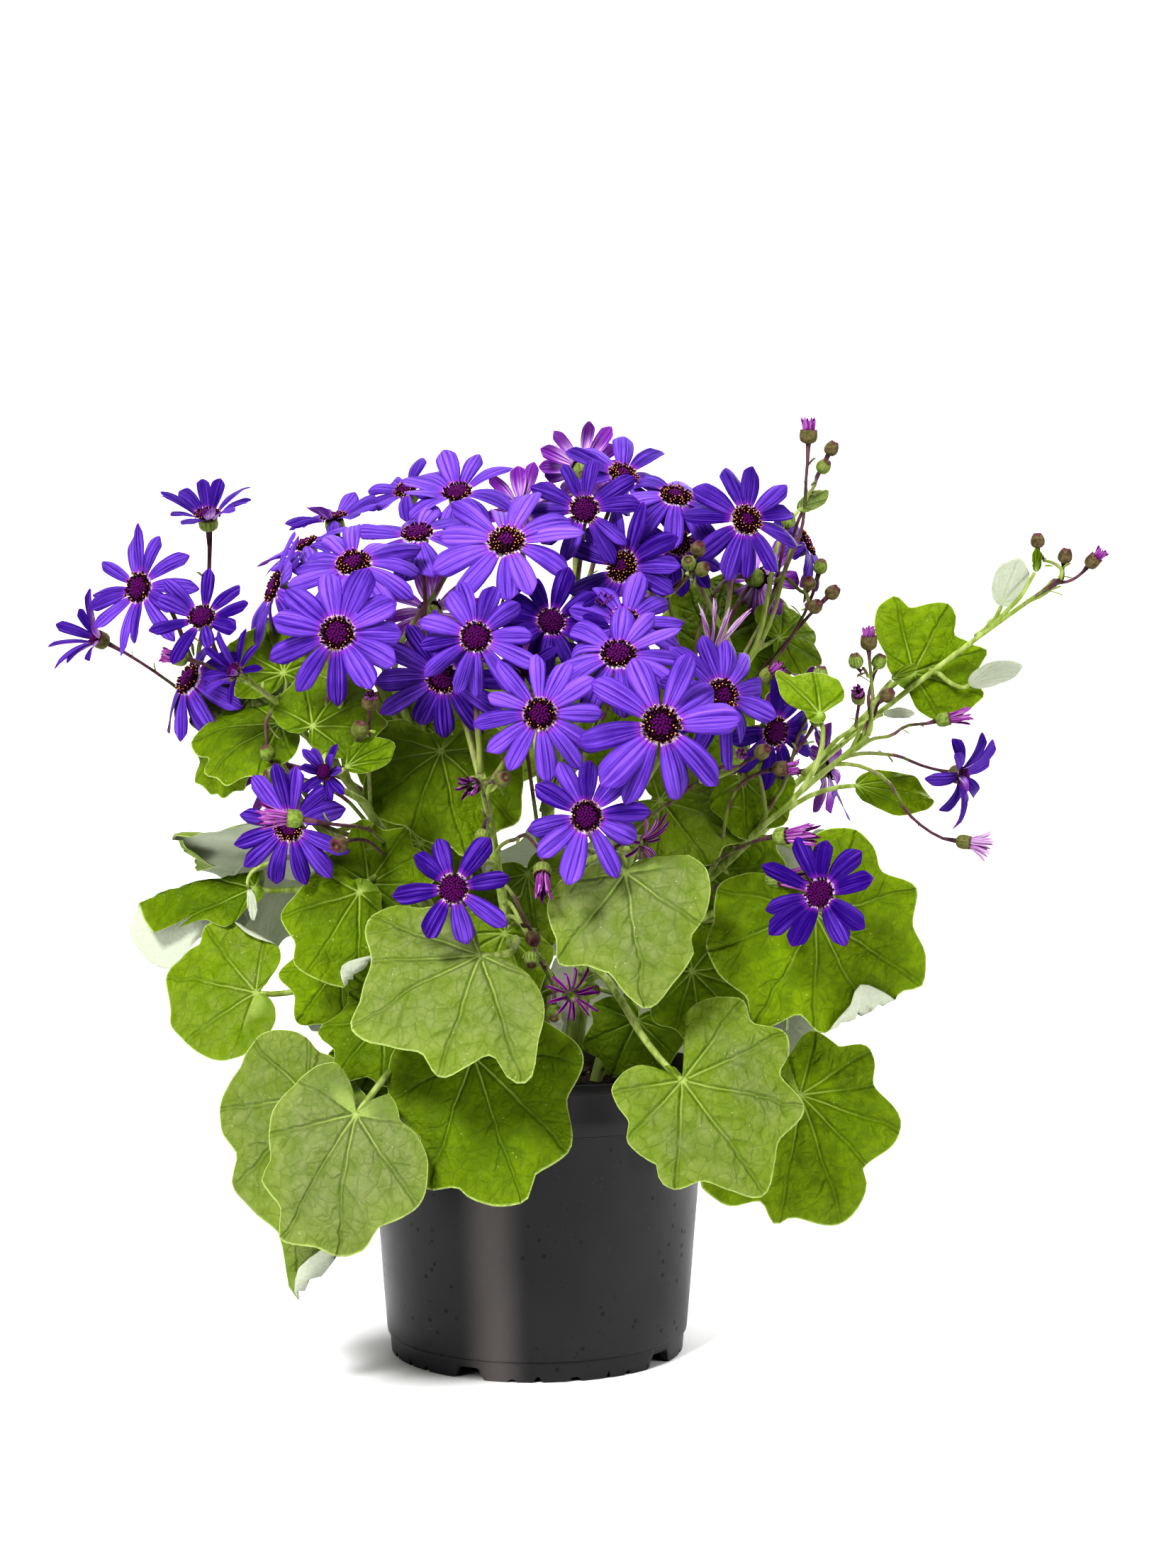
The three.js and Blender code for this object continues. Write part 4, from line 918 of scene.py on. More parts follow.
# ---------------------------------------------------------------- Flowers
# Daisy heads on thin dark stalks: a ring of long violet-blue petals, white at
# their base and pink and white underneath, round a domed disc of tiny purple
# florets, of which the outer ones are open and carry yellow pollen.
FLOWERS = {  # x y z of the disc | azimuth elevation | diameter, petals, cup angle | paleness, lowered as painted shade for flowers in shade, age of the disc
    "far_left": [
        (-191, -22, 369, -30, 8, 60, 13, 8, 0.6, 0.5), (-165, 20, 409, 0, 58, 52, 12, 50, 0.3, 0.4),
        (-156, -50, 353, -8, 30, 50, 9, 25, 0.35, 0.4), (-167, -22, 325, -48, 24, 64, 13, -35, 0.4, 0.6),
    ],
    "left_front": [
        (-84, -60, 377, -8, 42, 66, 12, -12, 0.8, 0.8), (-87, -100, 342, -5, 8, 64, 11, 0, 0.6, 0.6),
        (-109, -95, 256, -20, -5, 56, 12, 0, 0.45, 0.7), (-124, -36, 368, -66, 18, 62, 12, -15, 0.7, 0.6),
    ],
    "left_back": [
        (-114, -2, 392, -50, 60, 54, 10, -8, 0.7, 0.6), (-102, 20, 408, -20, 70, 50, 10, 20, 0.5, 0.6),
        (-57, -25, 395, -8, 52, 62, 10, -5, 0.75, 0.35), (-40, 10, 419, -12, 48, 60, 11, 18, 0.6, 0.4),
        (-68, 45, 425, -30, 45, 48, 9, 10, 0.5, 0.6),
    ],
    "centre_front": [
        (-25, -105, 340, 0, 8, 56, 12, 0, 0.65, 0.35), (-41, -85, 323, -12, -12, 60, 12, 0, 0.45, 0.6),
        (4, -132, 305, 0, 5, 57, 12, 0, 0.85, 0.6), (-33, -140, 230, -3, 3, 52, 8, 0, 0.35, 0.2),
    ],
    "centre": [
        (-13, -62, 387, -5, 36, 70, 11, -8, 0.85, 0.9), (8, -75, 349, 12, 15, 52, 10, 25, 0.05, 0.2),
        (38, -112, 332, -3, 38, 64, 12, -10, 0.9, 0.5), (42, -70, 349, 10, 30, 58, 11, 10, 0.75, 0.5),
    ],
    "centre_back": [
        (23, -42, 404, 0, 15, 56, 10, 8, 0.5, 0.35), (42, 5, 427, 20, 40, 58, 10, 0, 0.5, 0.9),
        (-9, 50, 417, 170, 32, 46, 11, 34, 0.3, 0.5), (22, 45, 436, 178, 30, 52, 12, 35, 0.5, 0.5),
        (41, -45, 377, -28, 12, 62, 11, 5, 0.5, 1.0),
    ],
    "front_right": [
        (56, -142, 300, 5, 8, 69, 10, 0, 0.7, 0.7), (24, -142, 261, 5, 0, 54, 10, 0, 0.6, 0.5),
        (84, -110, 314, 28, 5, 60, 12, -12, 0.6, 0.8),
    ],
    "right_front": [
        (111, -66, 299, 35, -12, 56, 9, 5, 0.0, 0.4), (126, -120, 227, -30, 16, 55, 10, 24, 0.1, 0.15),
    ],
    "right_up": [
        (67, -15, 414, 12, 48, 62, 10, -10, 0.6, 0.9), (69, 0, 393, 15, 12, 52, 10, 0, 0.3, 0.8),
        (100, -35, 400, 15, 12, 58, 11, -5, 0.35, 1.0), (136, 40, 397, 75, 25, 54, 10, -20, 0.5, 0.6),
        (112, 40, 379, 135, -5, 48, 10, 20, 0.5, 0.6),
    ],
    "back_left": [
        (-120, 70, 350, 240, 20, 58, 10, 0, 0.6, 0.6), (-60, 108, 368, 200, 30, 58, 11, -5, 0.7, 0.9),
        (-140, 75, 285, 245, 5, 56, 10, 5, 0.5, 0.4), (-70, 130, 285, 200, 5, 60, 11, 0, 0.5, 0.7),
    ],
    "back_right": [
        (5, 122, 335, 180, 15, 62, 11, 0, 0.6, 0.8), (62, 105, 382, 160, 35, 60, 11, -5, 0.7, 0.5),
        (122, 82, 338, 130, 20, 58, 10, 0, 0.5, 0.9), (85, 132, 275, 155, 5, 62, 11, 0, 0.6, 0.4),
        (149, 62, 283, 102, 8, 54, 10, 5, 0.3, 0.7),
    ],
}
SLENDER = {  # (stem, number) of the flowers with narrow petals: their share of the usual width
    ("far_left", 0): 0.85, ("far_left", 1): 0.8, ("far_left", 2): 0.85, ("right_front", 1): 0.85,
    ("centre_back", 0): 0.78,
}
PETAL_HALF = 0.14  # half the thickness
PETAL_WIDTHS = [  # (part of the length, share of the full width)
    (0, 0.42), (0.08, 0.5), (0.2, 0.7), (0.38, 0.9), (0.58, 1.0), (0.75, 0.99), (0.88, 0.87), (0.96, 0.68),
    (1.0, 0.46),
]
FLORET_PROFILE = [(0, 0), (1.0, 0.5), (0.85, 0.9), (0, 1.0)]
DOME_PROFILE = [(0, -0.7), (0.5, -0.6), (1.0, 0), (0.85, 0.3), (0.6, 0.6), (0.3, 0.85), (0, 0.95)]
FLORETS, GOLDEN_ANGLE = 104, 2.399963


def petal_shape(blank, length, width, tilt, bend, channel, twist, ripple=0.0, seed=0):
    """A petal lying outwards: columns out, sideways and height, in millimetres, and its marks."""
    u, v, side = blank["places"][:, 0], (blank["places"][:, 1] + 1) / 2, np.sign(blank["places"][:, 2])
    v = v * (1 - 0.17 * u ** 2 * np.clip((v - 0.55) / 0.45, 0, 1) ** 1.5)
    half_width = 0.5 * width * np.interp(v, *np.transpose(PETAL_WIDTHS))
    angle = tilt + bend * v
    if abs(bend) > 1e-3:
        out = length * (np.sin(angle) - math.sin(tilt)) / bend
        height = -length * (np.cos(angle) - math.cos(tilt)) / bend
    else:
        out, height = length * v * math.cos(tilt), length * v * math.sin(tilt)
    groove = 0.045 * half_width * (np.abs(np.abs(u) - 0.25) < 0.05)
    groove = groove * np.sin(math.pi * np.clip(v, 0, 1)) ** 0.5
    lift = channel * half_width * u ** 2 + PETAL_HALF * side * (1 - 0.75 * u ** 2) - groove
    lift = lift + ripple * np.sin(v * 9 + u * 2 + seed) * v
    sideways = half_width * u
    roll = twist * v
    turned_side = sideways * np.cos(roll) - lift * np.sin(roll)
    turned_lift = sideways * np.sin(roll) + lift * np.cos(roll)
    out, height = out - turned_lift * np.sin(angle), height + turned_lift * np.cos(angle)
    marks = {"across": u, "along": v, "under": (side < 0).astype(float)}
    return np.stack([out, turned_side, height], axis=1), marks


def on_flower(local, centre, axes, angle):
    """Moves something that lies outwards to its place round a flower."""
    face, up, side = axes
    out, sideways, height = local.T
    return (
        centre
        + np.outer(out * math.cos(angle) - sideways * math.sin(angle), side)
        + np.outer(out * math.sin(angle) + sideways * math.cos(angle), up)
        + np.outer(height, face)
    )


petal = Finish("petal", Specular_IOR_Level=0.09)
across, along, under, tone = (petal.mark(name) for name in ("across", "along", "under", "tone"))
lines = petal.cloud(1, 3, petal.vector(across * 6, along * 0.8, tone * 40))
threads = petal.cloud(1, 2, petal.vector(across * 22, along * 2, tone * 60))
blotch = petal.cloud(60, 2)
depth = tone * 0.62 + (lines - 0.5) * 1.35 + (threads - 0.5) * 0.5 + (blotch - 0.5) * 0.4
groove = abs(abs(across) - 0.25).grade(0.02, 0.1, 1, 0) * along.grade(0.85, 1, 1, 0)
foot = along - (lines - 0.4) * 0.16
violet = petal.coats(
    petal.mix(depth.grade(-0.1, 0.95), (0.024, 0.0003, 0.138), (0.255, 0.116, 0.68)),
    # painted shade in the two lengthwise grooves
    (groove * 0.45, (0.045, 0.001, 0.27)),
    # painted shade: darker towards the side edges, where the channel turns away and neighbours overlap
    (abs(across).grade(0.55, 1.0, 0, 0.45), (0.04, 0.002, 0.2)),
    (along.grade(0.88, 1.0, 0, 0.4), (0.12, 0.01, 0.34)),
    (foot.grade(0.05, 0.2, 0.45, 0), (0.36, 0.05, 0.55)),
    (foot.grade(0.02, 0.075, 0.9, 0), (0.86, 0.7, 0.88)),
)
back = petal.mix(lines.grade(0.4, 0.6), (0.72, 0.5, 0.82), (0.3, 0.06, 0.5))
back = petal.mix(along.grade(0.2, 0.7, 0, 0.85), back, (0.19, 0.016, 0.33))
petal.into("Base Color", petal.mix(under, violet, back))
petal.into("Roughness", lines.grade(0.3, 0.7, 0.42, 0.6))
petal.bump(lines + threads * 0.4 - groove, 0.0008, 0.7)

floret = Finish("disc_floret", Specular_IOR_Level=0.12, Sheen_Weight=0.04, Sheen_Roughness=0.4)
open_floret, height = floret.mark("open"), floret.mark("height")
closed_colour = floret.mix(floret.cloud(1500, 2), (0.03, 0.0005, 0.035), (0.16, 0.003, 0.17))
open_colour = floret.mix(height.grade(0.5, 1), (0.012, 0.0008, 0.006), (0.05, 0.003, 0.025))
floret.into("Base Color", floret.mix(open_floret, closed_colour, open_colour))
floret.into("Roughness", floret.cloud(1200, 1).grade(0.3, 0.7, 0.5, 0.8))
pollen = Finish("pollen", Specular_IOR_Level=0.3)
pollen.into("Base Color", pollen.mix(pollen.mark("tone"), (0.62, 0.25, 0.02), (0.85, 0.5, 0.16)))
pollen.into("Roughness", pollen.cloud(2000, 1).grade(0.3, 0.7, 0.6, 0.85))


def petal_grid(columns, rows):
    bpy.ops.mesh.primitive_grid_add(x_subdivisions=columns, y_subdivisions=rows, size=2)
    grid = bpy.context.object
    grid.select_set(False)
    return sheet_blank(grid)


petal_blank = petal_grid(8, 13)
floret_blank = as_blank(turned("floret", FLORET_PROFILE, 6, unit=1))
dome_blank = as_blank(turned("dome", DOME_PROFILE, 24, unit=1))
bpy.ops.mesh.primitive_ico_sphere_add(subdivisions=1, radius=1)
grain_blank = as_blank(bpy.context.object)


def disc_copies(centre, axes, radius, ripeness, seed):
    """The disc: a dome with florets in a spiral on it, closed in the middle and open outside."""
    draw = random.Random(seed)
    face, up, side = axes
    dome = dome_blank["places"] * np.array([radius * 0.93, radius * 0.93, 0.32 * radius])
    shaped = centre + dome[:, :1] * side + dome[:, 1:2] * up + dome[:, 2:] * face
    copies = [(dome_blank, shaped, {"open": 1.0}, 1)]
    for number in range(FLORETS):
        reach = math.sqrt((number + 0.5) / FLORETS)
        angle = number * GOLDEN_ANGLE + draw.uniform(-0.08, 0.08)
        is_open = reach > 1.0 - 0.62 * ripeness
        size = radius * (0.075 if is_open else 0.098)
        tall = radius * (0.15 + 0.16 * reach * is_open) * draw.uniform(0.8, 1.3)
        outward = side * math.cos(angle) + up * math.sin(angle)
        axis = unit(face + outward * 0.6 * reach)
        first = unit(np.cross(axis, up if abs(axis.dot(up)) < 0.9 else side))
        second = np.cross(axis, first)
        height = 0.32 * radius * (1 - reach ** 2) - 0.1 * radius
        foot = centre + outward * reach * radius * 0.97 + face * height
        body = floret_blank["places"]
        shaped = foot + body[:, :1] * size * first + body[:, 1:2] * size * second + body[:, 2:] * tall * axis
        copies.append((floret_blank, shaped, {"open": float(is_open), "height": body[:, 2]}, 1))
        if is_open and draw.random() < 0.15 + 0.5 * ripeness:
            bead = radius * draw.uniform(0.036, 0.052)
            spot = foot + axis * (tall + 0.4 * bead) + outward * draw.uniform(-0.3, 0.3) * size
            copies.append((grain_blank, spot + grain_blank["places"] * bead, {"tone": draw.random()}, 2))
    return copies


def flower_copies(row, slender, seed):
    x, y, z, azimuth, elevation, diameter, petals, cup, paleness_and_shade, ripeness = row
    draw = random.Random(seed)
    axes = axes_of(azimuth, elevation)
    centre = np.array([x, y, z], float)
    radius = diameter / 2
    disc = 1.5 + 0.089 * diameter + 0.3 * ripeness
    hub = disc * 0.86
    start = draw.uniform(0, math.pi / petals)
    copies = []
    for number in range(petals):
        angle = start + 2 * math.pi * number / petals + math.radians(draw.uniform(-9, 9))
        length = (radius - hub) * draw.uniform(0.9, 1.14)
        width = slender * min(0.37 * radius, 3.8 * radius / petals) * draw.uniform(0.82, 1.12)
        tilt = math.radians(cup * 0.75 + 10 + draw.uniform(-13, 13))
        bend = -math.radians(24 + draw.uniform(-22, 34))
        local, marks = petal_shape(
            petal_blank, length, width, tilt, bend, draw.uniform(-0.55, 0.25),
            math.radians(draw.uniform(-30, 30)), 0.3, draw.uniform(0, 6),
        )
        local[:, 0] += hub
        local[:, 2] += 0.6 * (number % 2) - 0.7
        shaped = on_flower(local, centre, axes, angle)
        shaped = shaped - np.outer(marks["along"] ** 2 * length * 0.05, UP)
        # the flower's own paleness with a jitter; for flowers lying in shade it is lowered, as painted shade
        marks["tone"] = min(1, max(0, paleness_and_shade + draw.uniform(-0.26, 0.26)))
        copies.append((petal_blank, shaped, marks, 0))
    return copies + disc_copies(centre, axes, disc, ripeness, seed + 500)


flower_seed = 1000
for name, rows in FLOWERS.items():
    for number, row in enumerate(rows):
        flower_seed += 1
        copies = flower_copies(row, SLENDER.get((name, number), 1), flower_seed)
        piece = grown(f"flower_{name}_{number + 1}", copies, [petal, floret, pollen])
        dressed(piece, "petals", f"bloom_{name}_{number + 1}")


# ---------------------------------------------------------------- Flower stalks, buds and half-open heads
# Thin dark stalks fork off the upper half of each stem and end in a ribbed
# green cup under each flower. Between them stand closed buds and heads whose
# narrow rolled petals, magenta inside and whitish outside, stand in a tuft.
HEADS = {  # x y z of the cup's mouth | azimuth elevation | width, length of the tuft of petals (0: closed)
    "far_left": [(-218, 8, 347, -48, 22, 9, 23), (-171, -40, 335, -80, 10, 8, 8)],
    "left_front": [
        (-91, -115, 280, -10, 15, 8, 13), (-106, -125, 260, -85, 5, 8, 14), (-85, -125, 248, -20, -10, 8, 0),
        (-122, -80, 279, -60, 0, 8, 0), (-72, -100, 314, 10, 50, 8, 3), (-136, -80, 326, -30, 20, 8, 18),
    ],
    "centre_front": [
        (5, -131, 235, 0, -45, 8, 14), (-25, -130, 274, -10, -10, 8, 14), (-21, -130, 250, 0, -30, 7, 0),
        (1, -110, 205, 10, -20, 7, 0), (10, -120, 172, 0, -40, 7, 0), (18, -115, 182, 20, 0, 7, 12),
    ],
    "centre": [(-4, -78, 327, 10, 30, 9, 24), (77, -55, 387, 20, 50, 7, 0), (31, -62, 356, 10, 40, 8, 9)],
    "front_right": [(93, -98, 288, 30, 20, 7, 3), (50, -90, 248, 60, 0, 8, 16)],
    "right_front": [
        (113, -110, 252, 60, 5, 8, 15), (111, -92, 232, 70, 5, 8, 15), (115, -85, 282, 80, 5, 7, 7),
        (110, -70, 326, 60, 30, 8, 7), (133, -60, 329, 20, 70, 7, 0), (131, -72, 307, 20, 40, 7, 0),
        (83, -68, 338, 20, 50, 8, 24),
    ],
    "right_up": [
        (139, -5, 384, 20, 60, 7, 0), (147, 0, 371, 60, 40, 7, 0), (124, 5, 408, 20, 70, 7, 0),
        (134, 10, 450, 10, 80, 9, 7), (147, 12, 444, 60, 60, 7, 0),
    ],
    "right_side": [
        (160, -20, 346, 0, 80, 8, 6), (167, -15, 337, 50, 60, 7, 0), (172, -15, 320, 60, 40, 7, 0),
        (154, -26, 318, -10, 30, 7, 6), (202, 0, 307, 80, 12, 7, 12), (212, 0, 246, 80, -8, 7, 13),
        (209, 6, 279, 52, -12, 9, 24),
    ],
    "far_right": [(248, 15, 399, -20, 75, 7, 0), (262, 12, 391, 30, 70, 7, 0), (276, 8, 387, 60, 45, 7, 6)],
    "back_left": [(-100, 105, 330, 220, 40, 8, 6), (-20, 112, 392, 190, 60, 7, 0)],
    "back_right": [(95, 112, 330, 150, 50, 7, 5), (140, 95, 305, 130, 30, 7, 0)],
}
SIDE_BUDS = {  # further small buds, which fork off the stalk nearest to them
    "left_front": [(-123, -75, 292, -40, 60, 7, 0), (-76, -105, 302, 20, 60, 8, 0)],
    "centre_front": [
        (-11, -130, 278, 20, 20, 7, 0), (0, -115, 195, 0, -50, 7, 0), (29, -112, 184, 60, 10, 7, 0),
    ],
    "centre": [(71, -60, 379, -10, 20, 7, 0), (80, -58, 376, 40, 20, 7, 0)],
    "front_right": [(105, -95, 291, 40, 30, 7, 0)],
    "right_up": [(132, -8, 375, -10, 40, 7, 0), (137, -10, 363, 30, 30, 7, 0), (143, 8, 434, 40, 40, 7, 0)],
    "right_side": [(153, -20, 337, -30, 60, 7, 0)],
}
FORKS_FROM = {"far_right": 0.9, "right_side": 0.88}  # part of the stem above which stalks fork off, else 0.5
BROWN_CUPS = {"far_right": (0.95, 0), "right_up": (0.35, 0.6), "right_side": (0.25, 0.7)}  # least, and spread
CUP_DEPTH, CUP_RIBS = 7, 13
CUP_PROFILE = [
    (0, 0), (0.28, 0.0), (0.62, 0.08), (0.86, 0.2), (0.97, 0.38), (1.0, 0.6), (0.97, 0.82), (0.96, 1.0),
    (0.84, 1.0), (0.8, 0.8), (0, 0.7),
]
BUD_PROFILE = [
    (0, 0), (0.3, 0.0), (0.66, 0.07), (0.9, 0.2), (1.0, 0.38), (0.98, 0.58), (0.86, 0.78), (0.66, 0.94),
    (0.48, 1.04), (0.36, 1.02), (0.3, 0.9), (0, 0.86),
]
OPEN_FROM = 4  # length of the tuft above which the cup is open

cup_blank = as_blank(turned("cup", CUP_PROFILE, 2 * CUP_RIBS, unit=1))
bud_blank = as_blank(turned("bud", BUD_PROFILE, 2 * CUP_RIBS, unit=1))

calyx = Finish("calyx", Specular_IOR_Level=0.15, Sheen_Weight=0.05, Sheen_Roughness=0.4)
rib, height, tone = calyx.mark("rib"), calyx.mark("height"), calyx.mark("tone")
mottle = calyx.cloud(500, 3)
sepal = calyx.mix(mottle.grade(0.35, 0.65), (0.1, 0.15, 0.02), (0.2, 0.27, 0.06))
sepal = calyx.mix(rib.grade(-1, -0.3, 0.8, 0), sepal, (0.33, 0.36, 0.15))
brown = calyx.mix(mottle.grade(0.35, 0.65), (0.055, 0.028, 0.02), (0.14, 0.085, 0.055))
sepal = calyx.mix((tone + mottle * 0.3).grade(0.55, 1.0, 0, 0.85), sepal, brown)
calyx.into("Base Color", calyx.mix(height.grade(0.88, 1.02, 0, 0.85), sepal, (0.11, 0.02, 0.05)))
calyx.into("Roughness", mottle.grade(0.3, 0.7, 0.5, 0.75))
calyx.bump(mottle, 0.0003, 0.6)

rolled = Finish("rolled_petal", Specular_IOR_Level=0.12)
across, along, under, tone = (rolled.mark(name) for name in ("across", "along", "under", "tone"))
lines = rolled.cloud(1, 2, rolled.vector(across * 3, along * 1.2, tone * 60))
inside = rolled.mix(tone * 0.6 + lines * 0.4, (0.07, 0.001, 0.08), (0.24, 0.01, 0.26))
outside = rolled.mix(lines.grade(0.42, 0.6), (0.36, 0.12, 0.38), (0.14, 0.006, 0.15))
pale_rim = abs(across).grade(0.75, 0.95, 0, 0.6)
colour = rolled.mix(pale_rim, rolled.mix(under, inside, outside), (0.62, 0.42, 0.66))
faded = rolled.mark("faded") * lines.grade(0.42, 0.58, 0.05, 0.7)
colour = rolled.mix(faded, colour, (0.8, 0.68, 0.84))
rolled.into("Base Color", rolled.mix(along.grade(0, 0.2, 0.35, 0), colour, (0.5, 0.3, 0.45)))
rolled.into("Roughness", lines.grade(0.3, 0.7, 0.45, 0.6))
rolled.bump(lines, 0.0004, 0.5)

thin_rod = rod_blank(7, 12)
narrow_blank = petal_grid(4, 8)


def cup_copies(blank, mouth, axes, width, tone, seed):
    """A ribbed cup or bud with its mouth at a place."""
    face, up, side = axes
    x, y, z = blank["places"].T
    angle = np.arctan2(y, x) + seed
    rib = np.cos(CUP_RIBS * angle)
    swell = 1 + 0.055 * rib * np.sin(math.pi * np.clip(z, 0, 1)) ** 0.5
    height = z + 0.07 * rib * np.clip((z - 0.8) / 0.2, 0, 1) * (np.hypot(x, y) > 0.2)
    wide = 0.5 * width * swell
    foot = mouth - face * CUP_DEPTH
    shaped = foot + np.outer(x * wide, side) + np.outer(y * wide, up) + np.outer(height * CUP_DEPTH, face)
    return [(blank, shaped, {"rib": rib, "height": z, "tone": tone}, 1)]


TUFTS = {  # petals, spread, bend, width, how far rolled, number of the finish
    "brush": (12, 0.22, 0.2, 1.6, 1.5, 2),
    "fan": (13, 0.35, -0.1, 1.5, 1.5, 2),
    "spider": (13, 0.9, -0.9, 1.5, 1.5, 2),
    "violet": (10, 0.75, -0.6, 5.6, 0.4, 3),
    "star": (10, 1.0, -0.3, 4.2, 0.5, 3),
    "hanging": (12, 1.1, -1.0, 7.6, 0.35, 3),
}
TUFT_STYLES = {  # of the heads that aren't a brush
    ("far_left", 0): "violet", ("centre", 0): "violet", ("right_side", 6): "hanging",
    ("left_front", 0): "star", ("left_front", 5): "star", ("right_front", 6): "fan",
    ("front_right", 1): "spider", ("centre_front", 5): "spider", ("right_side", 5): "fan",
}


def tuft_copies(mouth, axes, width, length, style, seed):
    """The narrow petals that stand in a half-open head."""
    draw = random.Random(seed)
    count, spread, bend, wide, roll, kind = TUFTS[style]
    copies = []
    for number in range(count):
        angle = 2 * math.pi * (number + draw.uniform(-0.3, 0.3)) / count
        tilt = math.pi / 2 - spread * draw.uniform(0.3, 1.5)
        long = length * draw.uniform(0.8, 1.12)
        local, marks = petal_shape(
            narrow_blank, long, wide * draw.uniform(0.85, 1.15), tilt, bend + draw.uniform(-0.3, 0.3), roll,
            math.radians(draw.uniform(-1, 1) * (20 if kind == 3 else 60)), 0.2, number,
        )
        local[:, 0] += width * 0.3
        local[:, 2] -= 1.5
        marks["tone"] = draw.uniform(0, 1) if kind == 2 else draw.uniform(0.1, 0.6)
        marks["faded"] = float(style == "fan")
        copies.append((narrow_blank, on_flower(local, mouth, axes, angle), marks, kind))
    if kind == 3:
        disc = disc_copies(mouth + axes[0] * 1.2, axes, 0.4 * width, 0.15, seed)
        copies += [(blank, shaped, marks, number + 3) for blank, shaped, marks, number in disc]
    return copies


head_seed = 3000
for name, stem in stem_runs.items():
    ends = []  # the cups: mouth, axes, width, length of the tuft (None: an open flower), style
    for x, y, z, azimuth, elevation, *_ in FLOWERS.get(name, []):
        axes = axes_of(azimuth, elevation)
        ends.append((np.array([x, y, z], float) - axes[0] * 1.6, axes, 9.6, None, None))
    for number, (x, y, z, azimuth, elevation, width, tuft) in enumerate(HEADS.get(name, [])):
        style = TUFT_STYLES.get((name, number), "brush")
        ends.append((np.array([x, y, z], float), axes_of(azimuth, elevation), width, tuft, style))
    ends.sort(key=lambda end: end[0][2])
    runs = []
    low = FORKS_FROM.get(name, 0.5)
    for number, (mouth, axes, *_) in enumerate(ends):
        part = low + (1 - low) * (number + 1) / len(ends)
        runs.append(branch_run(stem, part, mouth - axes[0] * CUP_DEPTH, axes[0]))
    for x, y, z, azimuth, elevation, width, tuft in SIDE_BUDS.get(name, []):
        mouth, axes = np.array([x, y, z], float), axes_of(azimuth, elevation)
        nearest = min(runs, key=lambda run: np.linalg.norm(run.at(0.75) - mouth))
        ends.append((mouth, axes, width, tuft, "brush"))
        runs.append(branch_run(nearest, 0.7, mouth - axes[0] * CUP_DEPTH, axes[0]))
    copies = []
    for (mouth, axes, width, tuft, style), run in zip(ends, runs):
        head_seed += 1
        draw = random.Random(head_seed)
        juicy = style == "star"
        thin = 1.5 if juicy else 0.85 if tuft is not None else 1.2
        shaped = bent(
            thin_rod, run, lambda part: thin * (1.3 - 0.45 * part + 0.7 * max(0, (part - 0.86) / 0.14) ** 2),
            ribs=4, rib_height=0.08, wobble=4, seed=head_seed,
        )
        dark = draw.uniform(0.1, 0.35) + (0 if juicy else 0.7) * thin_rod["places"][:, 2]
        copies.append((thin_rod, shaped, {"purple": dark}, 0))
        for _ in range(2):
            part = draw.uniform(0.3, 0.92)
            along = run.along(part)
            aside = unit(np.cross(along, (0.3, -1, 0.1)))
            long, wide, tilt = draw.uniform(4, 9), draw.uniform(1.1, 2.0), draw.uniform(0.5, 1.1)
            local, _ = petal_shape(narrow_blank, long, wide, tilt, -0.4, 0.5, 0.3)
            directions = (along, np.cross(along, aside), aside)
            shaped = on_flower(local, run.at(part), directions, draw.uniform(0, 6.28))
            copies.append((narrow_blank, shaped, {"purple": draw.uniform(0.2, 0.65)}, 0))
        tone = draw.uniform(0.05, 0.95) if tuft is not None else draw.uniform(0, 0.4)
        least, spread = BROWN_CUPS.get(name, (0, 1))
        blank = cup_blank if tuft is None or tuft > OPEN_FROM else bud_blank
        copies += cup_copies(blank, mouth, axes, width, least + spread * tone, head_seed)
        if tuft:
            copies += tuft_copies(mouth, axes, width, tuft, style, head_seed + 500)
    finishes = [stalk, calyx, rolled, petal, floret, pollen]
    dressed(grown(f"flower_stalks_{name}", copies, finishes), "greenery", f"leafy_stem_{name}")


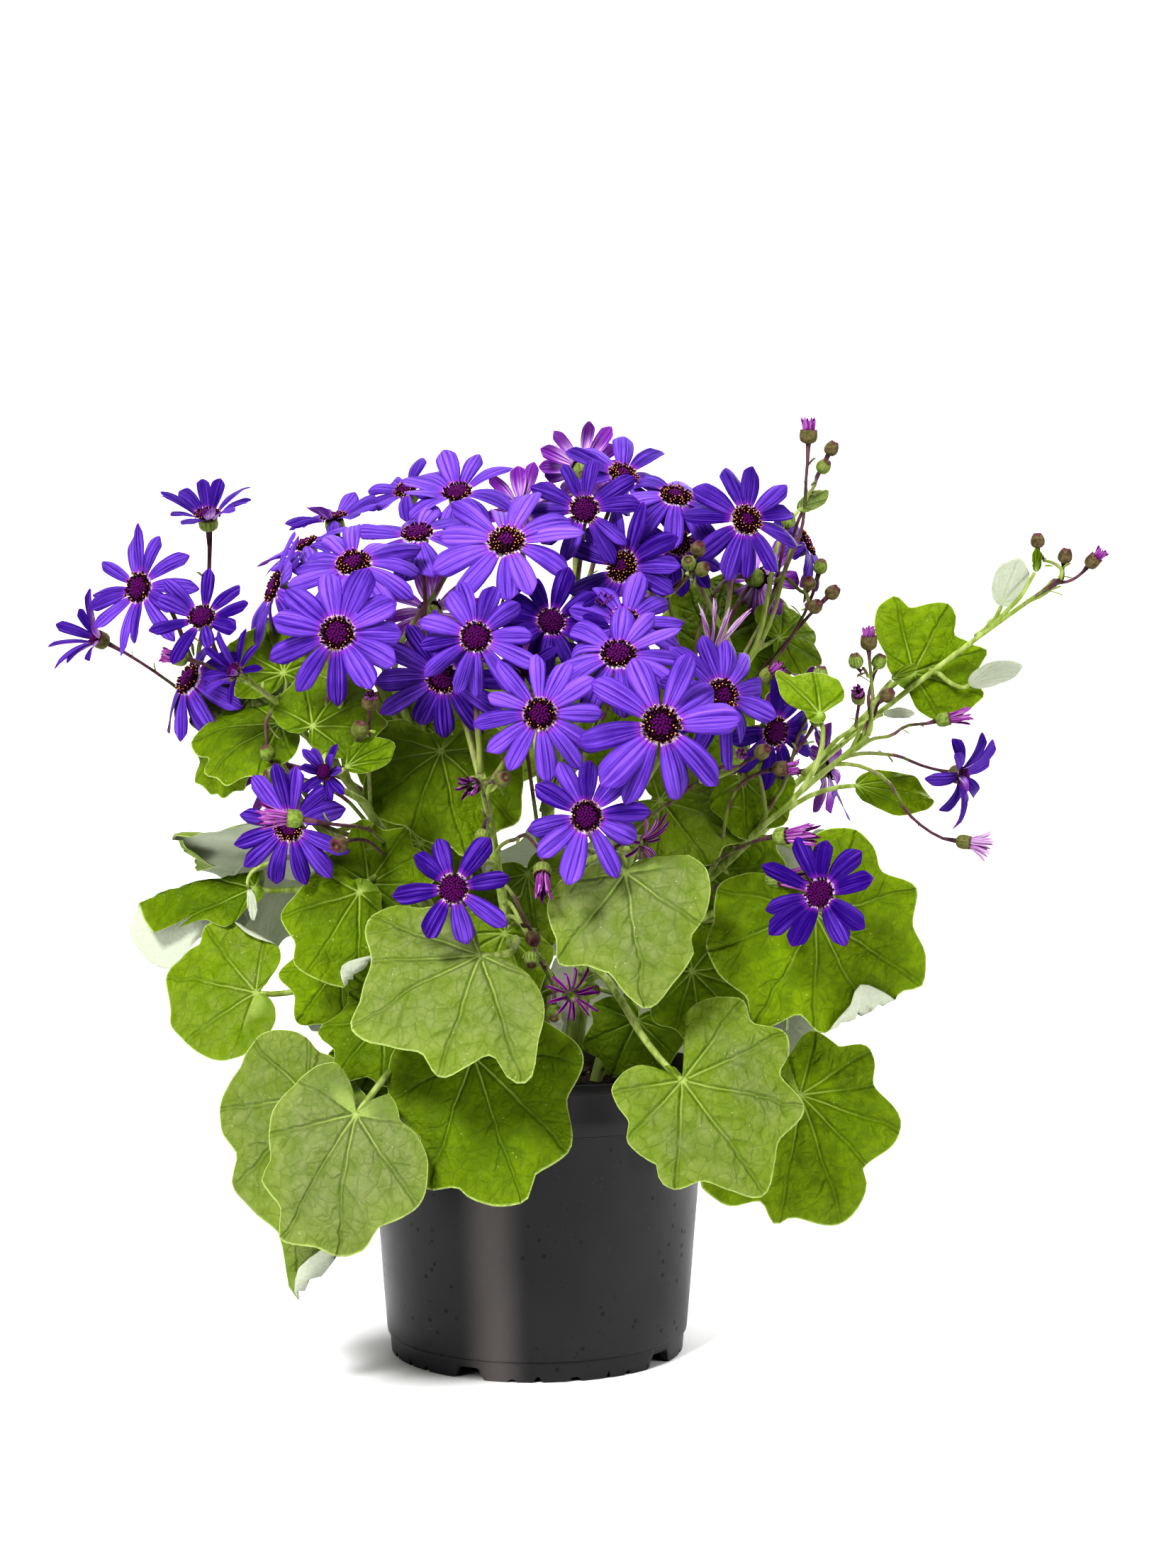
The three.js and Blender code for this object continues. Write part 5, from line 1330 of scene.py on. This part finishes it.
# ---------------------------------------------------------------- Floor and light
# A white paper sweep under and behind the plant. A large soft lamp stands at
# the front left with a narrow one low beside it, a weaker one at the right,
# one above, one behind at the right, and one shines on the paper behind.
bpy.ops.mesh.primitive_plane_add(size=1)
sweep = bpy.context.object
sweep.name = "sweep"
bpy.ops.object.mode_set(mode="EDIT")
bpy.ops.mesh.subdivide(number_cuts=39)
bpy.ops.object.mode_set(mode="OBJECT")
for vertex in sweep.data.vertices:
    x, y = vertex.co.x * 9, (vertex.co.y + 0.5) * 8 - 2.6
    rise = max(0.0, y - 1.2)
    if rise < 1.5708:
        vertex.co = (x, 1.2 + math.sin(rise) if rise else y, 1 - math.cos(rise))
    else:
        vertex.co = (x, 2.2, 1 + rise - 1.5708)
for polygon in sweep.data.polygons:
    polygon.use_smooth = True
sweep.select_set(False)
paper = Finish("white_paper", Roughness=0.9, Specular_IOR_Level=0.1)
paper.into("Base Color", paper.mix(paper.cloud(3, 1), (0.9, 0.9, 0.9), (0.92, 0.92, 0.92)))
sweep.data.materials.append(paper.material)

for name, place, wide, tall, power, aim in (
    ("key", (-0.75, -1.45, 1.65), 0.5, 0.5, 45, (0, 0, 0.28)),
    ("strip", (-0.85, -1.05, 0.45), 0.1, 0.8, 4, (0, 0, 0.12)),
    ("fill", (1.5, -0.9, 0.9), 1.0, 1.0, 14, (0, 0, 0.25)),
    ("top", (0.1, 0.2, 2.0), 0.9, 0.9, 3, (0, 0, 0.3)),
    ("rear", (0.9, 1.5, 1.0), 1.0, 1.0, 18, (0, 0, 0.25)),
    ("backdrop", (0, 0.9, 2.6), 2.5, 2.5, 60, (0, 2.2, 0.9)),
):
    bpy.ops.object.light_add(type="AREA", location=place)
    lamp = bpy.context.object
    lamp.name = f"lamp_{name}"
    lamp.data.shape = "RECTANGLE"
    lamp.data.size, lamp.data.size_y = wide, tall
    lamp.data.energy = power
    lamp.rotation_euler = (Vector(aim) - Vector(place)).to_track_quat("-Z", "Y").to_euler()
    lamp.select_set(False)
world = bpy.data.worlds.new("studio")
world.use_nodes = True
world.node_tree.nodes["Background"].inputs["Color"].default_value = (1, 1, 1, 1)
world.node_tree.nodes["Background"].inputs["Strength"].default_value = 0.04
bpy.context.scene.world = world
bpy.context.scene.view_settings.view_transform = "Standard"
bpy.context.scene.view_settings.look = "High Contrast"
